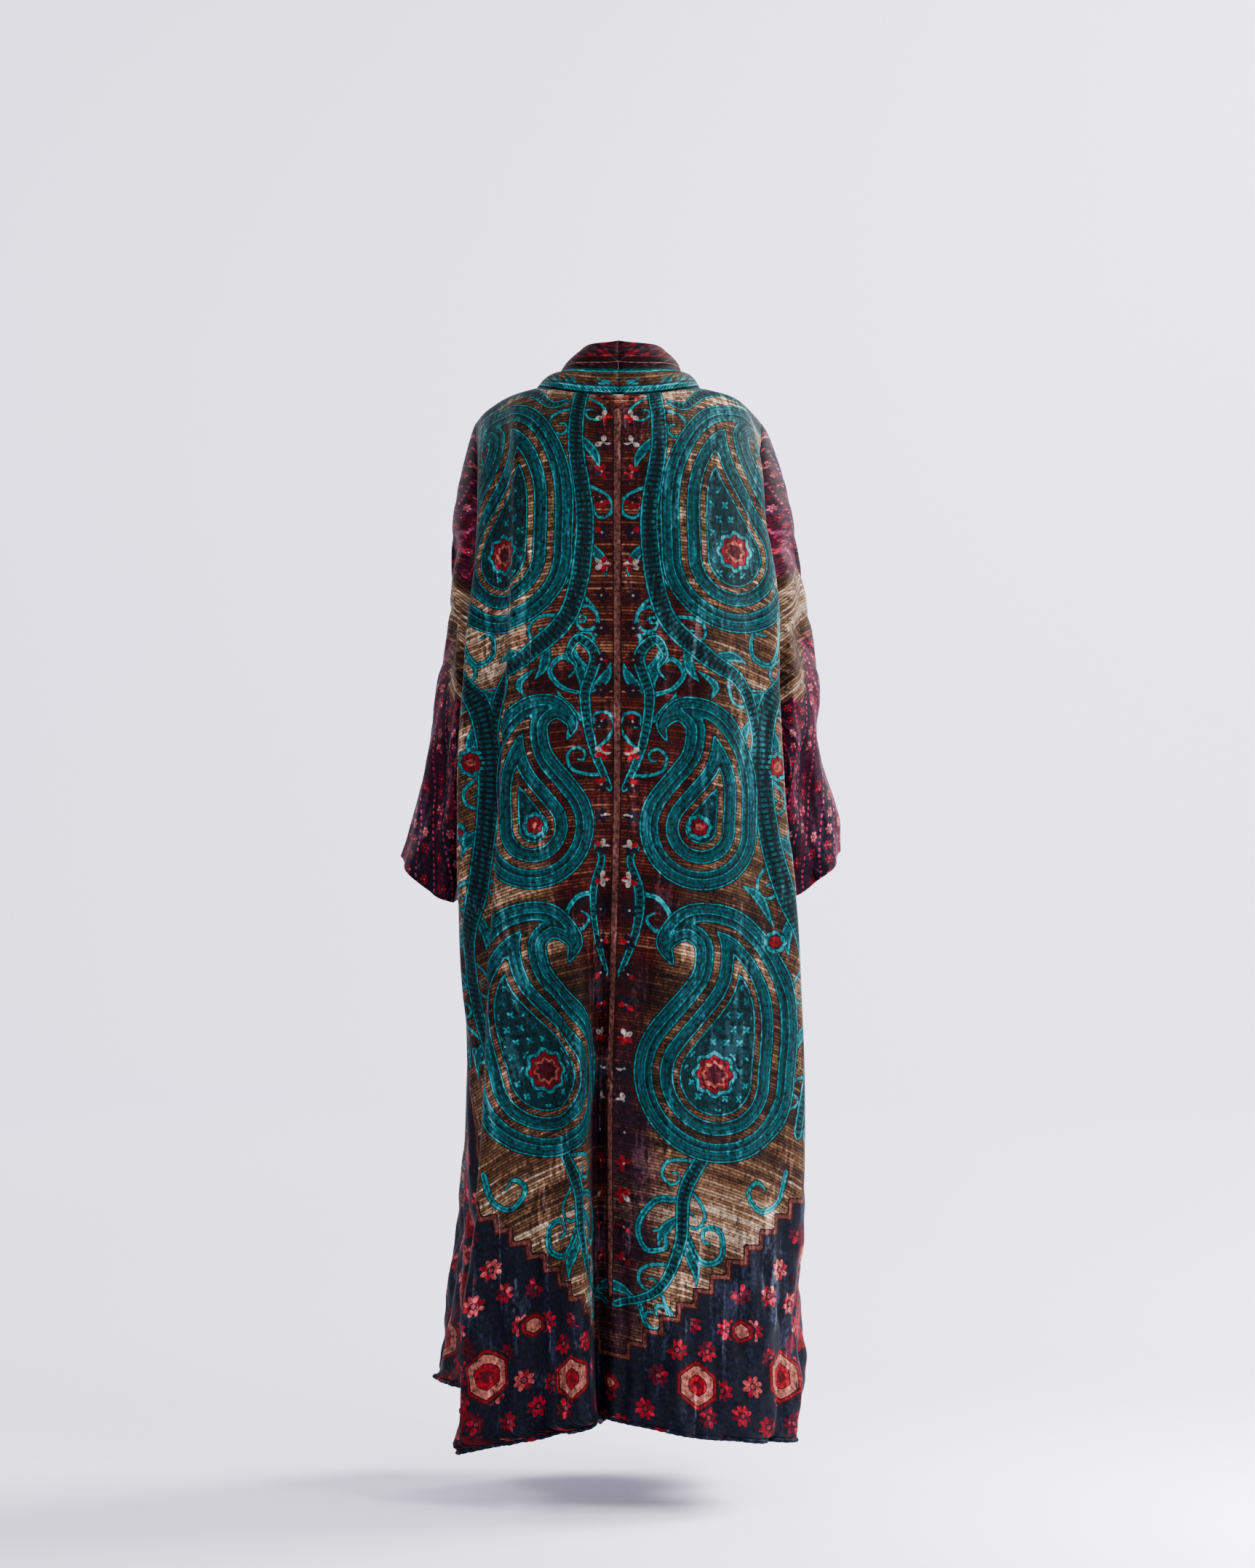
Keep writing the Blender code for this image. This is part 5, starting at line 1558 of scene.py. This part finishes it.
# The size across and up the cloth and the detail of the pile, its speckle, brushed streaks, crushed patches
# and pressed lines.
# The last two carry painted sheen. The pile is drawn 1.7 mm wide, coarser than it is, so that it shows.
PILE_NOISE = (
    (0.0017, 0.0024, 2.0),
    (0.0045, 0.0065, 1.0),
    (0.009, 0.060, 3.0),
    (0.050, 0.150, 2.0),
    (0.055, 1.300, 1.0),
)
# The weights of these in how crushed the pile is, which sets its painted sheen (brushed, patches, speckle),
# its brightness, with painted sheen from the crushed pile and the lines (pile, speckle, brushed, crushed,
# lines), its painted highlight (crushed, lines) and its relief (pile, speckle, brushed)
CRUSHED_SHEEN_WEIGHTS = (0.5, 0.6, 0.25)
VALUE_WEIGHTS = (0.8, 1.1, 0.6, 0.7, 0.5)
PAINTED_HIGHLIGHT_WEIGHTS = (0.018, 0.060)
RELIEF_WEIGHTS = (0.35, 0.4, 1.2)
# Where the painted sheen of crushed pile fades in and where it is full, and the width of the painted
# highlight lines along folds
CRUSHED_SHEEN_RANGE = (0.70, 0.86)
SHEEN_LINE_WIDTH = 0.010
DARKEST_PILE = -0.90
RELIEF_STRENGTH = 0.6
RELIEF = 0.0014


def velvet(name, paint):
    """Velvet in the colours that paint gives."""
    made = bpy.data.materials.new(name)
    made.use_nodes = True
    tree = made.node_tree
    shader = tree.nodes["Principled BSDF"].inputs
    place = add(tree, "Attribute", attribute_name="cloth_place")["Vector"]
    pile, speckle, brushed, patches, folds = [soft_noise(tree, place, *size) for size in PILE_NOISE]
    # Crushed patches and fold lines are painted sheen: they lift the colour's value and carry the pale
    # painted highlight
    crushed_sheen_level = weighed(tree, zip((brushed, patches, speckle), CRUSHED_SHEEN_WEIGHTS))
    crushed_sheen = add(tree, "MapRange", (crushed_sheen_level, *CRUSHED_SHEEN_RANGE), interpolation_type="SMOOTHSTEP")[0]
    lines = where_all(tree, add(tree, "Math", (folds, 0.5, SHEEN_LINE_WIDTH), operation="COMPARE")[0], crushed_sheen)
    value = weighed(tree, zip((pile, speckle, brushed, crushed_sheen, lines), VALUE_WEIGHTS), DARKEST_PILE)
    colour = add(tree, "HueSaturation", {"Color": paint(tree), "Value": value, "Saturation": SATURATION})[0]
    # A pale painted highlight over the crushed patches and the fold lines
    painted_highlight = weighed(tree, zip((crushed_sheen, lines), PAINTED_HIGHLIGHT_WEIGHTS))
    colour = overprinted(tree, colour, ((painted_highlight, PAINTED_HIGHLIGHT),))
    height = weighed(tree, zip((pile, speckle, brushed), RELIEF_WEIGHTS))
    bump = add(tree, "Bump", {"Height": height, "Strength": RELIEF_STRENGTH, "Distance": RELIEF})[0]
    tree.links.new(colour, shader["Base Color"])
    tree.links.new(bump, shader["Normal"])
    shader["Roughness"].default_value = PILE_ROUGHNESS
    shader["Specular IOR Level"].default_value = PILE_GLOSS
    shader["Sheen Weight"].default_value = SHEEN_WEIGHT
    shader["Sheen Roughness"].default_value = SHEEN_ROUGHNESS
    return made


# The rows of flowers on the sleeves slant by this much
SLEEVE_ROWS_TURN = math.radians(62)
# The print's middle line lies this far beyond the edge of a front
FRONT_EDGE_OFFSET = 0.030
# How often the grids of the panels, sleeves and neck band are smoothed
PANEL_ROUNDS = 12
SLEEVE_ROUNDS = 8
BAND_ROUNDS = 3


def fields_for(name, places):
    """The measures that the material of a piece needs at each place."""
    if name in ("back", "front"):
        return body_fields(places)
    across_cloth, up_cloth, _ = np.moveaxis(places, -1, 0)
    if name == "sleeve":
        turned = places.copy()
        turned[..., 0] = across_cloth * math.cos(SLEEVE_ROWS_TURN) + up_cloth * math.sin(SLEEVE_ROWS_TURN)
        turned[..., 1] = up_cloth * math.cos(SLEEVE_ROWS_TURN) - across_cloth * math.sin(SLEEVE_ROWS_TURN)
        return {"cloth_place": places, "row_place": turned}
    share = np.broadcast_to(np.linspace(0, 1, places.shape[1])[None], places.shape[:2])
    return {"cloth_place": places, "stripe_place": places[..., (1, 0, 2)], "band_share": share}


def stands_for(made, node):
    """Ties a piece to the body, in place of the CAD node that it shows."""
    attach(made, "root")
    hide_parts(node)
    return made


# The slot in the pack's record and the print of each kind of piece
PRINTS = {
    "back": ("printed_velvet", body_print),
    "front": ("front_velvet", body_print),
    "sleeve": ("sleeve_velvet", sleeve_print),
    "neck_band": ("band_velvet", band_print),
}
finishes = {name: velvet(slot, paint) for name, (slot, paint) in PRINTS.items()}
inside = velvet("velvet_backing", backing)
hem_cord = velvet("hem_cord", hem_dye)
body_lines = strokes_of_print()
LINES = {"back": body_lines, "front": body_lines, "sleeve": {"vine_line": SLEEVE_STROKES}, "neck_band": {}}

# Each piece's cut: the width and length of cloth that it takes, and its flat area
Cut = namedtuple("Cut", "flat area")

# Both halves are shaped on the right. The left ones are mirrored, and the back is turned over for them.
back = relaxed(back_grid(), PANEL_ROUNDS)
middle_column = back.shape[1] // 2
back = spaced_evenly(back, middle_column)
for side, front_table, sleeve_table, at_neck in (
    ("right", FRONT_RIGHT, SLEEVE_RIGHT, BAND_NECK_RIGHT),
    ("left", FRONT_LEFT, SLEEVE_LEFT, BAND_NECK_LEFT),
):
    front = relaxed(front_grid(front_table), PANEL_ROUNDS)
    band = relaxed(band_grid(front, at_neck), BAND_ROUNDS)
    sleeve = relaxed(sleeve_grid(sleeve_table), SLEEVE_ROUNDS, closed=True)
    part_pieces(back, front, band, sleeve)
    left = side == "left"
    hems, made = {}, {}
    for name, grid, middle, closed, creases in (
        ("front", front, -1, False, BODY_CREASES),
        ("neck_band", band, 0, False, BAND_CREASES),
        ("sleeve", sleeve, 0, True, SLEEVE_CREASES),
    ):
        places = cloth_places(grid, middle, closed)
        if name == "front":
            places[..., 0] -= FRONT_EDGE_OFFSET
        grid = creased(grid, places, creases, closed)
        if left:
            grid = mirrored(grid)
        finish, fields = (finishes[name], inside), fields_for(name, places)
        piece = cloth(name + "_" + side + "_cloth", grid, finish, fields, LINES[name], closed, left)
        made[name] = stands_for(piece, name + "_" + side)
        if name != "sleeve":
            hems[name] = hem_line(grid)
    roll = rolled_hem("hem_" + side, np.concatenate([hems["front"], hems["neck_band"][1:]]), hem_cord)
    stands_for(roll, "hem_roll_" + side)
    back = mirrored(back)[:, ::-1]
back = folded(back, cloth_places(back, middle_column), LONG_FOLDS)
places = cloth_places(back, middle_column)
back = creased(back, places, BODY_CREASES)
piece = cloth("back_cloth", back, (finishes["back"], inside), fields_for("back", places), LINES["back"])
stands_for(piece, "back")
roll = rolled_hem("hem_back", hem_line(back), hem_cord)
stands_for(roll, "hem_roll_back")

# A pale lilac paper sweep. Its floor lies as far under the hem as the robe hangs above it when worn.
FLOOR_LEVEL = -1.546
SWEEP_BACK = 6.6
SWEEP_RADIUS = 1.6
SWEEP_STEPS = 24
SWEEP_HALF_WIDTH = 12.0
SWEEP_TOP = 7.0
SWEEP_FRONT = -12.0
PAPER_ROUGHNESS = 0.9
PAPER_GLOSS = 0.1
PAPER_FIBRE = {"Scale": 300.0, "Detail": 2.0}
PAPER_DYES = ((0.3, "#e8e4f5"), (0.7, "#f0ecfc"))
# The even light from all round
ROOM_LIGHT = "#e9e6f2"
ROOM_STRENGTH = 1.06


def studio_paper():
    """Matt studio paper: even and without gloss, with a faint fibre."""
    paper = bpy.data.materials.new("studio_paper")
    paper.use_nodes = True
    tree = paper.node_tree
    shader = tree.nodes["Principled BSDF"].inputs
    place = add(tree, "TexCoord")["Object"]
    fibre = add(tree, "TexNoise", {"Vector": place, **PAPER_FIBRE})[0]
    tree.links.new(add(tree, "ValToRGB", (fibre,), PAPER_DYES)[0], shader["Base Color"])
    shader["Roughness"].default_value = PAPER_ROUGHNESS
    shader["Specular IOR Level"].default_value = PAPER_GLOSS
    return paper


def paper_sweep():
    """Paper on the floor that curves up behind the robe."""
    turn = np.linspace(0, math.pi / 2, SWEEP_STEPS + 1)
    back_ys = SWEEP_BACK + SWEEP_RADIUS * np.sin(turn)
    levels = FLOOR_LEVEL + SWEEP_RADIUS * (1 - np.cos(turn))
    outline = [(SWEEP_FRONT, FLOOR_LEVEL), *zip(back_ys, levels), (SWEEP_BACK + SWEEP_RADIUS, SWEEP_TOP)]
    points = [(side, y, z) for y, z in outline for side in (-SWEEP_HALF_WIDTH, SWEEP_HALF_WIDTH)]
    faces = [(2 * row, 2 * row + 1, 2 * row + 3, 2 * row + 2) for row in range(len(outline) - 1)]
    shown("paper_sweep", points, faces, [studio_paper()])


def soft_light(name, place, aim, size, power, spread=180):
    """A round studio lamp. spread is how wide it shines, in degrees."""
    data = bpy.data.lights.new(name, "AREA")
    data.spread = math.radians(spread)
    data.shape = "DISK"
    data.size = size
    data.energy = power
    light = bpy.data.objects.new(name, data)
    light.location = place
    light.rotation_euler = (Vector(aim) - light.location).to_track_quat("-Z", "Y").to_euler()
    light.visible_camera = False
    bpy.context.scene.collection.objects.link(light)


# The first three light the robe, from the right, the left and behind. The others brighten the paper.
paper_sweep()
soft_light("key", (3.2, -2.6, 1.7), (0, 0, -0.6), 1.1, 150)
soft_light("fill", (-2.6, -4.6, 0.6), (0, 0, -0.7), 3.0, 32)
soft_light("edge", (-2.6, 1.6, 1.4), (0, 0, -0.4), 1.0, 60)
soft_light("sweep_left", (-2.8, 4.4, 2.0), (-1.6, 8.2, -0.6), 2.4, 130)
soft_light("sweep_right", (2.8, 4.4, 2.6), (1.8, 8.2, 0.2), 2.4, 500)
soft_light("floor_front", (1.4, -2.6, 2.6), (0.5, -1.2, -1.5), 2.4, 90)
soft_light("floor_side", (3.4, 1.2, 1.6), (1.6, 0.8, -1.5), 2.0, 620)
soft_light("floor_right", (1.9, -0.6, 0.1), (1.25, -0.3, -1.5), 0.8, 30, 60)
world = bpy.data.worlds.new("studio")
bpy.context.scene.world = world
world.use_nodes = True
room = world.node_tree.nodes["Background"].inputs
room["Color"].default_value = linear(ROOM_LIGHT)
room["Strength"].default_value = ROOM_STRENGTH

# The camera looks level along +Y at the back, as in the photo. Its sensor and lens are in millimetres.
camera_data = bpy.data.cameras.new("camera")
camera = bpy.data.objects.new("camera", camera_data)
camera.location = (0.0127, -5.3, -0.546)
camera.rotation_euler = (math.radians(90), 0, 0)
camera_data.sensor_fit = "VERTICAL"
camera_data.sensor_height = 36
camera_data.lens = 86.76
bpy.context.scene.collection.objects.link(camera)
bpy.context.scene.camera = camera
